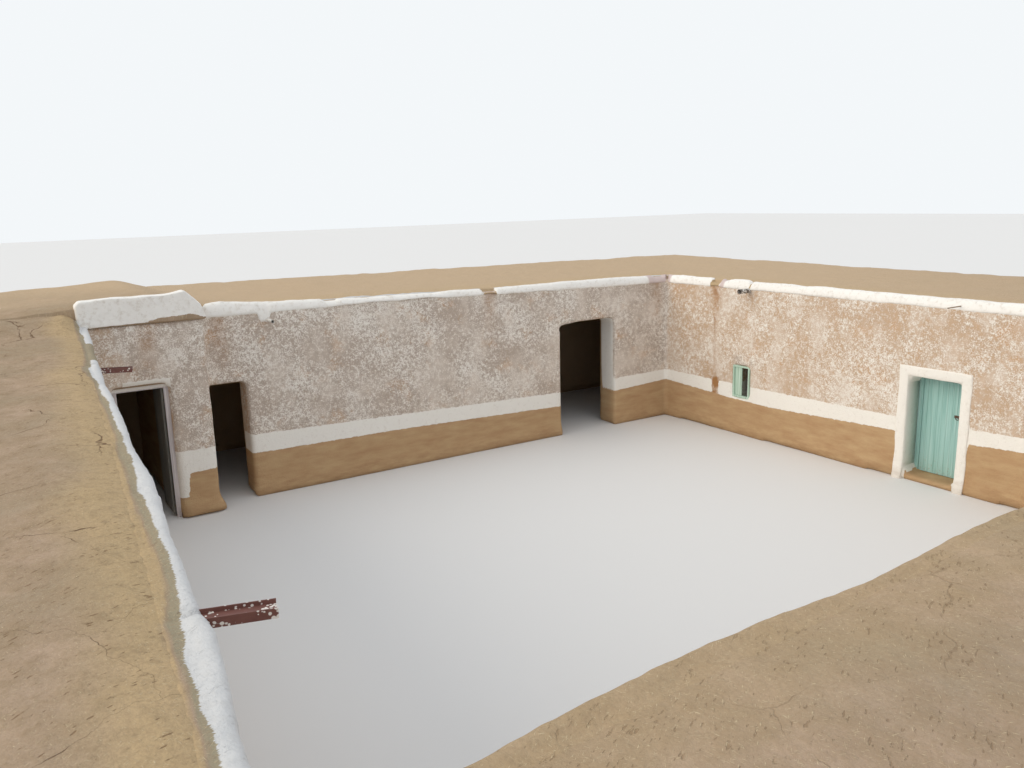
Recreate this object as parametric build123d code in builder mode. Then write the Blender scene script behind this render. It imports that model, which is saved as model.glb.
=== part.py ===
from build123d import *
import math
import os

os.makedirs("parts", exist_ok=True)

# An earth house round a courtyard: four ranges of rooms one storey high, with walls of
# rammed earth and flat roofs of packed earth on round logs. All sizes are millimetres.

# The courtyard is hand laid and not quite square. Its far side runs along X.
COURT_NORTH = 11770
COURT_EAST = 11530
COURT_WEST = 12380
EAST_LEAN = 1.5
WEST_LEAN = 4.3

# The ranges, and the walls on both sides of each.
RANGE_DEPTH = 3800
WALL = 550

# The raised room in the north-west corner stands forward of the far wall.
ROOM_FORWARD = 350
ROOM_EAST = 1630
ROOM_PIER = 620

# Roofs. Each height is the roof's top at a corner of the courtyard, or over the outer wall.
ROOF_OVERHANG = 60
ROOF_INNER = {
    "north_start": 3355, "north_east": 3200, "south_east": 3185, "south_west": 3215, "west_end": 3275,
}
ROOF_OUTER = {
    "north_start": 3440, "north_east": 3290, "south_east": 3180, "south_west": 3240, "west_end": 3330,
}
ROOM_ROOF_WEST = (3450, 3440)
ROOM_ROOF_EAST = (3665, 3640)
TALLER_THAN_ANY = 5000

# The walls stop under the roofs, and leave them this thickness of earth at their lowest.
ROOF_LEAST = 200
ROOM_ROOF_LEAST = 210
WALL_TOP = min(*ROOF_INNER.values(), *ROOF_OUTER.values()) - ROOF_LEAST
ROOM_TOP = min(*ROOM_ROOF_WEST, *ROOM_ROOF_EAST) - ROOM_ROOF_LEAST

# Lime copings along the roof edges round the courtyard.
COPING_WIDTH = 200
COPING_OUT = 40
COPING_RISE = 15
COPING_HEIGHT = {
    "north_start": 190, "north_east": 185, "south_east": 190, "south_west": 170, "west_end": 180,
}
ROOM_COPING_START = -180
ROOM_COPING_HEIGHT = (420, 470)
ROOM_COPING_SIDE = 40
ROOM_COPING_ROUND = 60
ROOM_COPING_SLOPE = 290
ROOM_COPING_SHOULDER = (60, 230)

# Roof logs, and the heavier logs that carry them across the corners.
LOG = 140
LOG_SPACING = 800
LOG_BEARING = 300
LOG_ROOM = 10
LOG_MARGIN = 300
GIRDER = 220

# Doorways, as start along the side, width and height of the head.
NORTH_SMALL = (ROOM_EAST, 680, 2050)
NORTH_TALL = (8820, 1450, 2390)
EAST_DOOR = (5900, 930, 1845)
ROOM_DOOR_WIDTH = 840
ROOM_DOOR = (ROOM_EAST - ROOM_PIER - ROOM_DOOR_WIDTH, ROOM_DOOR_WIDTH, 2250)
SOUTH_DOORWAY = (2200, 800, 1950)
SOUTH_PASSAGE = (5900, 1200, 2200)
WEST_DOORWAY_NEAR = (3000, 800, 1950)
WEST_DOORWAY_FAR = (8600, 800, 1950)
STREET_DOOR = (5950, 1100, 2100)

# The small window in the east side.
WINDOW = (1980, 440, 1460)
WINDOW_SILL = 780
WINDOW_FRAME = 40
WINDOW_FRAME_DEPTH = 50
WINDOW_SETBACK = 15
SHUTTER = 22
SHUTTER_GAP = 3

# Timber lintels sit inside the wall, behind a skin of plaster.
LINTEL = 100
LINTEL_BEARING = 200
LINTEL_COVER = 40

# Plank doors. The leaf hangs on eyes over pins, and shuts against a stop in its frame.
STILE = 55
STOP = 20
STOP_DEPTH = 18
LEAF = 35
LEAF_GAP = 8
STOP_CLEARANCE = 7
FRAME_DEPTH = LEAF + STOP_CLEARANCE + STOP_DEPTH
PIN_INSET = 2
PIN_RADIUS = 8
PIN_CLEARANCE = 0.3
EYE_WALL = 6
EYE_HEIGHT = 50
EYE_BACK = 16
PIN_ABOVE = 5
BRACKET = 14
BRACKET_LENGTH = 45
STRAP_LENGTH = 350
STRAP_HEIGHT = 40
STRAP = 6
LEDGE = 20
LEDGE_HEIGHT = 90
LEDGE_START = 60
LEDGE_DROP = 30
HINGE_FROM_END = 260
EAST_FRAME_BACK = 415
EAST_SILL = 90
EAST_SILL_SETBACK = 20
EAST_LEAF_OFF_SILL = 10
ROOM_FRAME_BACK = 170
ROOM_LEAF_OFF_GROUND = 40
ROOM_DOOR_OPEN = 90

# The lime band round the east door, and the latch on its leaf.
SURROUND = 175
SURROUND_OUT = 18
LATCH_ALONG = 640
LATCH_HEIGHT = 1180
LATCH_PLATE = (110, 45, 6)
LATCH_RING = 34
LATCH_RING_WIRE = 5

# The plain door to the street, in the outer wall.
STREET_LEAF = 45
STREET_LEAF_SETBACK = 120

# Roof spouts: two steel sections laid flat, two pipes and a stick. Each pipe and the stick
# has its place along its side, and its level above the wall.
SPOUT_WIDTH = 110
SPOUT_HEIGHT = 50
SPOUT_PLATE = 6
SPOUT_IN = 400
SPOUT_FALL = 2
SPOUT_SKEW = 7
SPOUT_SLOT_ROOM = 10
SPOUT_LEVEL = WALL_TOP + 150
WEST_SPOUTS = ((1650, 360), (8600, 310))
PIPE_WALL = 4
PIPE_OUT = 300
PIPE_IN = 260
PIPE_FIT = 0.3
EAST_PIPE = (2360, 48)
EAST_PIPE_RADIUS = 48
NORTH_PIPE = (2750, 80)
NORTH_PIPE_RADIUS = 28
STICK_RADIUS = 9
STICK_OUT = 380
STICK_IN = 150
EAST_STICK = (6700, 120)


# The four sides go clockwise round the courtyard. Along a side, s is the distance from its
# first corner, and o the distance outwards from its courtyard face.
def plan_step(length, degrees):
    """A step in plan, at an angle measured from the X axis."""
    angle = math.radians(degrees)
    return Vector(length * math.cos(angle), length * math.sin(angle))


north_west = Vector(-COURT_NORTH, 0)
north_east = Vector(0, 0)
south_east = north_east + plan_step(COURT_EAST, EAST_LEAN - 90)
south_west = north_west + plan_step(COURT_WEST, -90 - WEST_LEAN)
CORNERS = {"north": north_west, "east": north_east, "south": south_east, "west": south_west}
ORDER = ["north", "east", "south", "west"]


def neighbour(side, step):
    """The side before or after another."""
    return ORDER[(ORDER.index(side) + step) % len(ORDER)]


def heading(side):
    """The direction in which a side runs."""
    return (CORNERS[neighbour(side, 1)] - CORNERS[side]).normalized()


def outwards(side):
    """The direction from the courtyard into the range behind a side."""
    return Vector(-heading(side).Y, heading(side).X)


def crossing(side, o, other, other_o):
    """How far along a side its line at o meets another side's line at other_o."""
    gap = CORNERS[other] + outwards(other) * other_o - CORNERS[side] - outwards(side) * o
    return gap.dot(outwards(other)) / heading(side).dot(outwards(other))


def reach(side, end, o):
    """An end of a stretch at o: a number, "start" or "end" for a mitred corner, or a line."""
    if end == "start":
        return crossing(side, o, neighbour(side, -1), o)
    if end == "end":
        return crossing(side, o, neighbour(side, 1), o)
    if isinstance(end, tuple):
        return crossing(side, o, *end)
    return end


ROOF_REACH = RANGE_DEPTH + ROOF_OVERHANG
outline = [
    CORNERS[side] + heading(side) * reach(side, "start", ROOF_REACH) + outwards(side) * ROOF_REACH
    for side in ORDER
]
centre = Vector(
    (min(p.X for p in outline) + max(p.X for p in outline)) / 2,
    (min(p.Y for p in outline) + max(p.Y for p in outline)) / 2,
)
CORNERS = {side: corner - centre for side, corner in CORNERS.items()}


def at(side, s, o, z):
    """A point in space, from its place along and behind a side and its height."""
    return CORNERS[side] + heading(side) * s + outwards(side) * o + Vector(0, 0, z)


def side_plane(side, level=0):
    """The ground plane of a side, or a plane above it: x is s and y is o."""
    return Plane(origin=CORNERS[side] + Vector(0, 0, level), x_dir=heading(side), z_dir=(0, 0, 1))


def block(side, start, end, near, far, low, high):
    """An upright stretch of wall between two ends, two faces and two levels."""
    points = [
        (reach(side, start, near), near),
        (reach(side, end, near), near),
        (reach(side, end, far), far),
        (reach(side, start, far), far),
    ]
    with BuildPart() as piece:
        with BuildSketch(side_plane(side, low)):
            Polygon(*points, align=None)
        extrude(amount=high - low)
    return piece.part


def sloping_slab(side, ends, near, far, low, inner, outer):
    """A slab with a level underside. Its top runs between two inner and two outer heights."""
    places = [
        (reach(side, ends[0], near), near, inner[0]),
        (reach(side, ends[1], near), near, inner[1]),
        (reach(side, ends[1], far), far, outer[1]),
        (reach(side, ends[0], far), far, outer[0]),
    ]
    halves = []
    for corners in ((places[0], places[1], places[2]), (places[0], places[2], places[3])):
        a, b, c = [at(side, *corner) for corner in corners]
        with BuildPart() as half:
            with BuildSketch(side_plane(side, low)):
                Polygon(*[(s, o) for s, o, _ in corners], align=None)
            extrude(amount=TALLER_THAN_ANY)
            split(bisect_by=Plane(origin=a, x_dir=b - a, z_dir=(b - a).cross(c - a)), keep=Keep.BOTTOM)
        halves.append(half.part)
    with BuildPart() as slab:
        add(halves)
    return slab.part


def elevation_plane(side, o):
    """The upright plane along a side at o, seen from the courtyard: x is s and y is up."""
    return Plane(origin=CORNERS[side] + outwards(side) * o, x_dir=heading(side), z_dir=-outwards(side))


def strip(side, ends, near, far, low, top):
    """A strip along a side, mitred in plan, whose underside and top each run between two heights."""
    first, last = [reach(side, end, 0) for end in ends]
    spread = [reach(side, end, o) for end in ends for o in (near, far)]
    limits = (min(spread), max(spread))

    def level(heights, s):
        return heights[0] + (heights[1] - heights[0]) * (s - first) / (last - first)

    plan = block(side, *ends, near, far, 0, TALLER_THAN_ANY)
    below = [(s, level(low, s)) for s in limits]
    above = [(s, level(top, s)) for s in limits[::-1]]
    with BuildPart() as piece:
        with BuildSketch(elevation_plane(side, near)):
            Polygon(*below, *above, align=None)
        extrude(amount=near - far)
        add(plan, mode=Mode.INTERSECT)
    return piece.part


def evenly(first, last, spacing):
    """Places from first to last, no further apart than spacing."""
    count = max(1, math.ceil((last - first) / spacing))
    return [first + (last - first) * i / count for i in range(count + 1)]


# Roof logs lie across each range. The north and south ranges carry on over the corners.
INSIDE = RANGE_DEPTH - WALL
STANDING = (Align.CENTER, Align.CENTER, Align.MIN)


def log_places(side):
    """Where the logs of a range lie along its side."""
    if side == "north":
        first = ROOM_EAST
        last = min(crossing(side, o, "east", INSIDE) for o in (WALL, INSIDE))
    elif side == "south":
        first = max(crossing(side, o, "east", INSIDE) for o in (WALL, INSIDE))
        last = min(crossing(side, o, "west", INSIDE) for o in (WALL, INSIDE))
    elif side == "west":
        first = max(crossing(side, o, "south", 0) for o in (0, RANGE_DEPTH))
        last = min(crossing(side, o, "north", -ROOM_FORWARD) for o in (0, RANGE_DEPTH))
    else:
        first = max(crossing(side, o, "north", 0) for o in (0, RANGE_DEPTH))
        last = min(crossing(side, o, "south", 0) for o in (0, RANGE_DEPTH))
    return evenly(first + LOG_MARGIN, last - LOG_MARGIN, LOG_SPACING)


def room_log_places():
    """Where the logs of the raised room lie along the north side."""
    first = max(crossing("north", o, "west", INSIDE) for o in (WALL, INSIDE))
    return evenly(first + LOG_MARGIN, ROOM_EAST - ROOM_PIER - LOG_MARGIN, LOG_SPACING)


def log_row(side, places, near, top):
    """A row of round logs whose tops touch the roof above."""
    length = INSIDE + 2 * LOG_BEARING - near
    with BuildPart(side_plane(side)) as row:
        with Locations(*[(s, near - LOG_BEARING, top - LOG / 2) for s in places]):
            Cylinder(LOG / 2, length, rotation=(-90, 0, 0), align=STANDING)
    return row.part


def log_slots(side, places, near, top):
    """The slots in the tops of the walls that the logs drop into."""
    length = INSIDE + 2 * LOG_BEARING - near + 2 * LOG_ROOM
    with BuildPart(side_plane(side)) as row:
        with Locations(*[(s, near - LOG_BEARING - LOG_ROOM, top - LOG) for s in places]):
            Box(LOG + 2 * LOG_ROOM, length, LOG, align=(Align.CENTER, Align.MIN, Align.MIN))
    return row.part


# Each girder carries logs across a corner, in line with the wall beside it.
def girder_span(side, other):
    """The two ends of a girder that carries on the line of a side over its corner."""
    near = crossing(side, WALL / 2, other, WALL)
    far = crossing(side, WALL / 2, other, INSIDE)
    away = math.copysign(LOG_BEARING, far - near)
    return sorted((near - away, far + away))


GIRDERS = [("north", "east"), ("south", "east"), ("south", "west")]


def girder_bars(room):
    """The girders themselves, or with room the pockets that hold their ends."""
    bars = []
    for side, other in GIRDERS:
        start, end = girder_span(side, other)
        with BuildPart(side_plane(side)) as girder:
            with Locations((start - room, WALL / 2, WALL_TOP - LOG - GIRDER / 2)):
                if room:
                    Box(end - start + 2 * room, GIRDER + 2 * room, GIRDER,
                        align=(Align.MIN, Align.CENTER, Align.CENTER))
                else:
                    Cylinder(GIRDER / 2, end - start, rotation=(0, 90, 0), align=STANDING)
        bars.append(girder.part)
    return bars


def lintel(side, opening, near=0):
    """A timber lintel over an opening, in from both faces of its wall."""
    start, width, head = opening
    return block(
        side, start - LINTEL_BEARING, start + width + LINTEL_BEARING,
        near + LINTEL_COVER, near + WALL - LINTEL_COVER, head, head + LINTEL,
    )


lintels = {
    "north": [
        lintel("north", NORTH_SMALL), lintel("north", NORTH_TALL),
        lintel("north", ROOM_DOOR, -ROOM_FORWARD),
    ],
    "east": [lintel("east", EAST_DOOR), lintel("east", WINDOW)],
    "south": [lintel("south", SOUTH_DOORWAY), lintel("south", SOUTH_PASSAGE)],
    "west": [lintel("west", WEST_DOORWAY_NEAR), lintel("west", WEST_DOORWAY_FAR)],
    "street": [lintel("south", STREET_DOOR, INSIDE)],
}
slots = {side: log_slots(side, log_places(side), WALL, WALL_TOP) for side in ORDER}
ROOM_NEAR = WALL - ROOM_FORWARD
room_slots = log_slots("north", room_log_places(), ROOM_NEAR, ROOM_TOP)
pockets = girder_bars(LOG_ROOM)


def wall_between(side, openings, start, end, low=0, high=WALL_TOP, near=0):
    """The stretches of a wall beside its openings."""
    edges = [start] + [edge for s, width, _ in openings for edge in (s, s + width)] + [end]
    return [
        block(side, edges[i], edges[i + 1], near, near + WALL, low, high) for i in range(0, len(edges), 2)
    ]


def wall_over(side, openings, high=WALL_TOP, near=0):
    """The stretches of a wall over its openings."""
    return [block(side, s, s + width, near, near + WALL, head, high) for s, width, head in openings]


# Walls round the courtyard, split beside and over each opening.
north_pieces = wall_between("north", [NORTH_TALL], sum(NORTH_SMALL[:2]), "end")
with BuildPart() as north_wall:
    add(north_pieces)
    add([slots["north"], pockets[0]] + lintels["north"], mode=Mode.SUBTRACT)

north_over = wall_over("north", [NORTH_SMALL, NORTH_TALL])
with BuildPart() as north_wall_over_doorways:
    add(north_over)
    add([slots["north"]] + lintels["north"], mode=Mode.SUBTRACT)

east_pieces = wall_between("east", [WINDOW, EAST_DOOR], "start", "end")
with BuildPart() as east_wall:
    add(east_pieces)
    add([slots["east"], slots["north"], slots["south"]] + pockets[:2] + lintels["east"], mode=Mode.SUBTRACT)

window_apron = block("east", WINDOW[0], WINDOW[0] + WINDOW[1], 0, WALL, 0, WINDOW_SILL)
east_over = wall_over("east", [WINDOW, EAST_DOOR])
with BuildPart() as east_wall_over_openings:
    add(east_over)
    add(window_apron)
    add([slots["east"]] + lintels["east"], mode=Mode.SUBTRACT)

south_pieces = wall_between("south", [SOUTH_DOORWAY, SOUTH_PASSAGE], "start", "end")
with BuildPart() as south_wall:
    add(south_pieces)
    add([slots["south"]] + pockets[1:] + lintels["south"], mode=Mode.SUBTRACT)

south_over = wall_over("south", [SOUTH_DOORWAY, SOUTH_PASSAGE])
with BuildPart() as south_wall_over_doorways:
    add(south_over)
    add([slots["south"]] + lintels["south"], mode=Mode.SUBTRACT)

ROOM_FACE = ("north", -ROOM_FORWARD)
west_pieces = wall_between("west", [WEST_DOORWAY_NEAR, WEST_DOORWAY_FAR], "start", ROOM_FACE)
with BuildPart() as west_wall:
    add(west_pieces)
    add([slots["west"], slots["south"], pockets[2]] + lintels["west"], mode=Mode.SUBTRACT)

west_over = wall_over("west", [WEST_DOORWAY_NEAR, WEST_DOORWAY_FAR])
with BuildPart() as west_wall_over_doorways:
    add(west_over)
    add([slots["west"]] + lintels["west"], mode=Mode.SUBTRACT)

# Outer walls.
outer_north = block("north", ROOM_EAST, "end", INSIDE, RANGE_DEPTH, 0, WALL_TOP)
with BuildPart() as outer_north_wall:
    add(outer_north)
    add(slots["north"], mode=Mode.SUBTRACT)

outer_east = block("east", "start", "end", INSIDE, RANGE_DEPTH, 0, WALL_TOP)
with BuildPart() as outer_east_wall:
    add(outer_east)
    add([slots["east"]] + pockets[:2], mode=Mode.SUBTRACT)

outer_south = wall_between("south", [STREET_DOOR], "start", "end", near=INSIDE)
with BuildPart() as outer_south_wall:
    add(outer_south)
    add([slots["south"]] + lintels["street"], mode=Mode.SUBTRACT)

street_over = wall_over("south", [STREET_DOOR], near=INSIDE)
with BuildPart() as outer_south_wall_over_door:
    add(street_over)
    add([slots["south"]] + lintels["street"], mode=Mode.SUBTRACT)

outer_west = block("west", "start", ROOM_FACE, INSIDE, RANGE_DEPTH, 0, WALL_TOP)
with BuildPart() as outer_west_wall:
    add(outer_west)
    add([slots["west"], pockets[2]], mode=Mode.SUBTRACT)

# Walls of the raised room.
room_west = block("west", ROOM_FACE, "end", INSIDE, RANGE_DEPTH, 0, ROOM_TOP)
with BuildPart() as raised_room_west_wall:
    add(room_west)

room_north = block("north", "start", ROOM_EAST, INSIDE, RANGE_DEPTH, 0, ROOM_TOP)
with BuildPart() as raised_room_north_wall:
    add(room_north)
    add(room_slots, mode=Mode.SUBTRACT)

room_south = block("north", ("west", INSIDE), ROOM_DOOR[0], -ROOM_FORWARD, ROOM_NEAR, 0, ROOM_TOP)
room_east = block("north", ROOM_EAST - ROOM_PIER, ROOM_EAST, -ROOM_FORWARD, INSIDE, 0, ROOM_TOP)
with BuildPart() as raised_room_side_walls:
    add([room_south, room_east])
    add([room_slots] + lintels["north"], mode=Mode.SUBTRACT)

room_over = wall_over("north", [ROOM_DOOR], ROOM_TOP, -ROOM_FORWARD)
with BuildPart() as raised_room_wall_over_door:
    add(room_over)
    add([room_slots] + lintels["north"], mode=Mode.SUBTRACT)


# Spouts and the stick, each with the room that the roof and coping leave for it.
def spout_plane(s):
    """The plane that a steel spout lies on. It falls outwards, and turns a little to one side."""
    level = side_plane("west", SPOUT_LEVEL).location
    return Plane(level * Pos(s, 0, 0) * Rot(0, 0, -SPOUT_SKEW) * Rot(SPOUT_FALL, 0, 0))


def west_spout(s, out):
    """A steel section laid flat, so that its web is the bed of a gutter."""
    side_face = (SPOUT_WIDTH - SPOUT_PLATE) / 2
    length = out + SPOUT_IN
    with BuildPart(spout_plane(s)) as section:
        with Locations((0, -out, SPOUT_HEIGHT / 2)):
            Box(SPOUT_WIDTH, length, SPOUT_PLATE, align=(Align.CENTER, Align.MIN, Align.CENTER))
        with Locations((-side_face, -out, 0), (side_face, -out, 0)):
            Box(SPOUT_PLATE, length, SPOUT_HEIGHT, align=(Align.CENTER, Align.MIN, Align.MIN))
    return section.part


def west_spout_slot(s, out):
    """The open slot through the coping and roof edge over a steel spout."""
    with BuildPart(spout_plane(s)) as slot:
        with Locations((0, -out, 0)):
            Box(SPOUT_WIDTH + 2 * SPOUT_SLOT_ROOM, out + SPOUT_IN, TALLER_THAN_ANY,
                align=(Align.CENTER, Align.MIN, Align.MIN))
    return slot.part


def round_bar(side, place, radius, out, into):
    """A round bar through the edge of a roof, square to its side."""
    s, level = place
    with BuildPart(side_plane(side, WALL_TOP + level)) as rod:
        with Locations((s, -out, 0)):
            Cylinder(radius, out + into, rotation=(-90, 0, 0), align=STANDING)
    return rod.part


spout_pieces = [west_spout(s, out) for s, out in WEST_SPOUTS]
with BuildPart() as steel_spouts:
    add(spout_pieces)
spout_slots = [west_spout_slot(s, out) for s, out in WEST_SPOUTS]

PIPES = [("north", NORTH_PIPE, NORTH_PIPE_RADIUS), ("east", EAST_PIPE, EAST_PIPE_RADIUS)]
pipe_outsides, pipe_bores, pipe_holes = [
    [round_bar(side, place, radius + more, PIPE_OUT, PIPE_IN) for side, place, radius in PIPES]
    for more in (0, -PIPE_WALL, PIPE_FIT)
]
with BuildPart() as pipe_spouts:
    add(pipe_outsides)
    add(pipe_bores, mode=Mode.SUBTRACT)

stick_piece = round_bar("east", EAST_STICK, STICK_RADIUS, STICK_OUT, STICK_IN)
with BuildPart() as roof_stick:
    add(stick_piece)
stick_hole = round_bar("east", EAST_STICK, STICK_RADIUS + PIPE_FIT, STICK_OUT, STICK_IN)


# Roofs and copings.
STRETCHES = {
    "north": ((ROOM_EAST, "end"), ("north_start", "north_east")),
    "east": (("start", "end"), ("north_east", "south_east")),
    "south": (("start", "end"), ("south_east", "south_west")),
    "west": (("start", ROOM_FACE), ("south_west", "west_end")),
}


def coping_levels(side):
    """The heights of the two ends of a range's coping, for its underside and for its top."""
    tops = [ROOF_INNER[c] + COPING_RISE for c in STRETCHES[side][1]]
    lows = [top - COPING_HEIGHT[c] for top, c in zip(tops, STRETCHES[side][1])]
    return lows, tops


def range_roof(side):
    """The roof of a range, without the strip that its coping takes."""
    ends, corners = STRETCHES[side]
    low = coping_levels(side)[0]
    inner, outer = [[heights[c] for c in corners] for heights in (ROOF_INNER, ROOF_OUTER)]
    slab = sloping_slab(side, ends, 0, ROOF_REACH, WALL_TOP, inner, outer)
    room = strip(side, ends, 0, COPING_WIDTH, low, (TALLER_THAN_ANY, TALLER_THAN_ANY))
    with BuildPart() as roof:
        add(slab)
        add(room, mode=Mode.SUBTRACT)
    return roof.part


def range_coping(side):
    """The coping of a range: a thick lip over the courtyard face."""
    return strip(side, STRETCHES[side][0], -COPING_OUT, COPING_WIDTH, *coping_levels(side))


room_coping_front = block(
    "north", ROOM_COPING_START, ROOM_EAST + ROOM_COPING_SIDE, -ROOM_FORWARD - COPING_OUT, -ROOM_FORWARD,
    ROOM_TOP, TALLER_THAN_ANY,
)
north_slab, east_slab, south_slab, west_slab = [range_roof(side) for side in ORDER]
with BuildPart() as north_roof:
    add(north_slab)
    add(pipe_holes[0], mode=Mode.SUBTRACT)
with BuildPart() as east_roof:
    add(east_slab)
    add([pipe_holes[1], stick_hole], mode=Mode.SUBTRACT)
with BuildPart() as south_roof:
    add(south_slab)
with BuildPart() as west_roof:
    add(west_slab)
    add([room_coping_front] + spout_slots, mode=Mode.SUBTRACT)

north_lip, east_lip, south_lip, west_lip = [range_coping(side) for side in ORDER]
with BuildPart() as north_coping:
    add(north_lip)
with BuildPart() as east_coping:
    add(east_lip)
    add([pipe_holes[1], stick_hole], mode=Mode.SUBTRACT)
with BuildPart() as south_coping:
    add(south_lip)
with BuildPart() as west_coping:
    add(west_lip)
    add([room_coping_front] + spout_slots, mode=Mode.SUBTRACT)

# The raised room's roof, with its tall coping over the courtyard.
room_slab = sloping_slab(
    "north", (("west", ROOF_REACH), ROOM_EAST), -ROOM_FORWARD, ROOF_REACH, ROOM_TOP,
    (ROOM_ROOF_WEST[0], ROOM_ROOF_EAST[0]), (ROOM_ROOF_WEST[1], ROOM_ROOF_EAST[1]),
)
room_coping_room = block(
    "north", ROOM_COPING_START, ROOM_EAST, -ROOM_FORWARD, COPING_WIDTH - ROOM_FORWARD,
    ROOM_TOP, TALLER_THAN_ANY,
)
with BuildPart() as raised_room_roof:
    add(room_slab)
    add(room_coping_room, mode=Mode.SUBTRACT)

coping_end = ROOM_EAST + ROOM_COPING_SIDE
start_top, end_top = [ROOM_TOP + height for height in ROOM_COPING_HEIGHT]
with BuildPart() as raised_room_coping:
    with BuildSketch(elevation_plane("north", -ROOM_FORWARD - COPING_OUT)):
        Polygon(
            (ROOM_COPING_START, ROOM_TOP),
            (coping_end, ROOM_TOP),
            (coping_end - ROOM_COPING_SHOULDER[0], ROOM_TOP + ROOM_COPING_SHOULDER[1]),
            (coping_end - ROOM_COPING_SLOPE, end_top),
            (ROOM_COPING_START + ROOM_COPING_ROUND, start_top),
            (ROOM_COPING_START, start_top - ROOM_COPING_ROUND),
            align=None,
        )
    extrude(amount=-(COPING_WIDTH + COPING_OUT))

# Logs, girders and lintels.
log_rows = [log_row(side, log_places(side), WALL, WALL_TOP) for side in ORDER]
room_logs = log_row("north", room_log_places(), ROOM_NEAR, ROOM_TOP)
with BuildPart() as roof_logs:
    add(log_rows)
    add(room_logs)

girder_pieces = girder_bars(0)
with BuildPart() as corner_girders:
    add(girder_pieces)

with BuildPart() as doorway_lintels:
    for pieces in lintels.values():
        add(pieces)


# Doors. In a door's own plane x runs from the hinge pin along the leaf and z is up, and
# turn is 1 where y points into the room and -1 where it points out.
def door_plane(side, pin, back, turn, angle=0):
    """A plane through the hinge pin of a door, turned by the angle at which it stands."""
    along = heading(side) * turn
    run = along * math.cos(math.radians(angle)) + outwards(side) * math.sin(math.radians(angle))
    spot = CORNERS[side] + heading(side) * pin + outwards(side) * (back + EYE_BACK)
    return Plane(origin=spot, x_dir=run, z_dir=(0, 0, 1))


def door_sizes(opening, floor, off_floor):
    """The leaf's length past its pin, its lowest and highest edge, and its two hinge levels."""
    leaf_end = opening[1] - 2 * STILE - PIN_INSET - LEAF_GAP
    low = floor + off_floor
    high = opening[2] - STILE - LEAF_GAP
    return leaf_end, low, high, (low + HINGE_FROM_END, high - HINGE_FROM_END)


def upright_box(plane, turn, x_span, y_span, z_span):
    """A box in a door's plane, with y measured into the room from the pin."""
    with BuildPart(plane) as piece:
        with Locations((sum(x_span) / 2, turn * sum(y_span) / 2, sum(z_span) / 2)):
            Box(x_span[1] - x_span[0], y_span[1] - y_span[0], z_span[1] - z_span[0])
    return piece.part


FRAME_BACK = -EYE_BACK
FRAME_FRONT = FRAME_BACK - FRAME_DEPTH
LEAF_FRONT = FRAME_BACK - LEAF


def door_frame(plane, turn, opening, floor):
    """Two stiles and a head, with a stop on the courtyard side."""
    width, head = opening[1:]
    left = -STILE - PIN_INSET
    right = left + width
    stop_back = FRAME_FRONT + STOP_DEPTH
    deep = (FRAME_FRONT, FRAME_BACK)
    thin = (FRAME_FRONT, stop_back)
    return [
        upright_box(plane, turn, (left, left + STILE), deep, (floor, head)),
        upright_box(plane, turn, (right - STILE, right), deep, (floor, head)),
        upright_box(plane, turn, (left, right), deep, (head - STILE, head)),
        upright_box(plane, turn, (left, left + STILE + STOP), thin, (floor, head)),
        upright_box(plane, turn, (right - STILE - STOP, right), thin, (floor, head)),
        upright_box(plane, turn, (left, right), thin, (head - STILE - STOP, head)),
    ]


def door_leaf(plane, turn, sizes):
    """A plank leaf with two ledges on its back."""
    leaf_end, low, high, hinges = sizes
    start = LEAF_GAP - PIN_INSET
    pieces = [upright_box(plane, turn, (start, leaf_end), (LEAF_FRONT, FRAME_BACK), (low, high))]
    for level in hinges:
        top = level - LEDGE_DROP
        span = (LEDGE_START, leaf_end - LEDGE_START)
        deep = (FRAME_BACK, FRAME_BACK + LEDGE)
        pieces.append(upright_box(plane, turn, span, deep, (top - LEDGE_HEIGHT, top)))
    return pieces


def door_straps(plane, turn, sizes):
    """Flat straps on the back of the leaf, each with an eye for the pin."""
    straps = []
    for level in sizes[3]:
        middle = level + EYE_HEIGHT / 2
        with BuildPart(plane) as strap:
            with Locations((0, 0, level)):
                Cylinder(PIN_RADIUS + EYE_WALL, EYE_HEIGHT, align=STANDING)
            with Locations((STRAP_LENGTH / 2, turn * (FRAME_BACK + STRAP / 2), middle)):
                Box(STRAP_LENGTH, STRAP, STRAP_HEIGHT)
            with Locations((0, 0, level)):
                Cylinder(PIN_RADIUS + PIN_CLEARANCE, EYE_HEIGHT, align=STANDING, mode=Mode.SUBTRACT)
        straps.append(strap.part)
    return straps


def door_pins(plane, turn, sizes):
    """Pins on short brackets, fixed to the back of the frame."""
    pins = []
    for level in sizes[3]:
        top = level - PIN_CLEARANCE
        with BuildPart(plane) as pin:
            with Locations((0, 0, top - BRACKET)):
                Cylinder(PIN_RADIUS, BRACKET + EYE_HEIGHT + PIN_ABOVE, align=STANDING)
            with Locations((-BRACKET_LENGTH / 2, turn * (PIN_RADIUS + FRAME_BACK) / 2, top - BRACKET / 2)):
                Box(BRACKET_LENGTH, PIN_RADIUS - FRAME_BACK, BRACKET)
        pins.append(pin.part)
    return pins


# The east door is shut, and hangs at the north end of its opening.
east_pin = EAST_DOOR[0] + STILE + PIN_INSET
east_plane = door_plane("east", east_pin, EAST_FRAME_BACK, 1)
east_sizes = door_sizes(EAST_DOOR, EAST_SILL, EAST_LEAF_OFF_SILL)
east_frame_pieces = door_frame(east_plane, 1, EAST_DOOR, EAST_SILL)
with BuildPart() as east_door_frame:
    add(east_frame_pieces)

east_leaf_pieces = door_leaf(east_plane, 1, east_sizes)
with BuildPart() as east_door_leaf:
    add(east_leaf_pieces)

east_strap_pieces = door_straps(east_plane, 1, east_sizes)
with BuildPart() as east_door_straps:
    add(east_strap_pieces)

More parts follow.
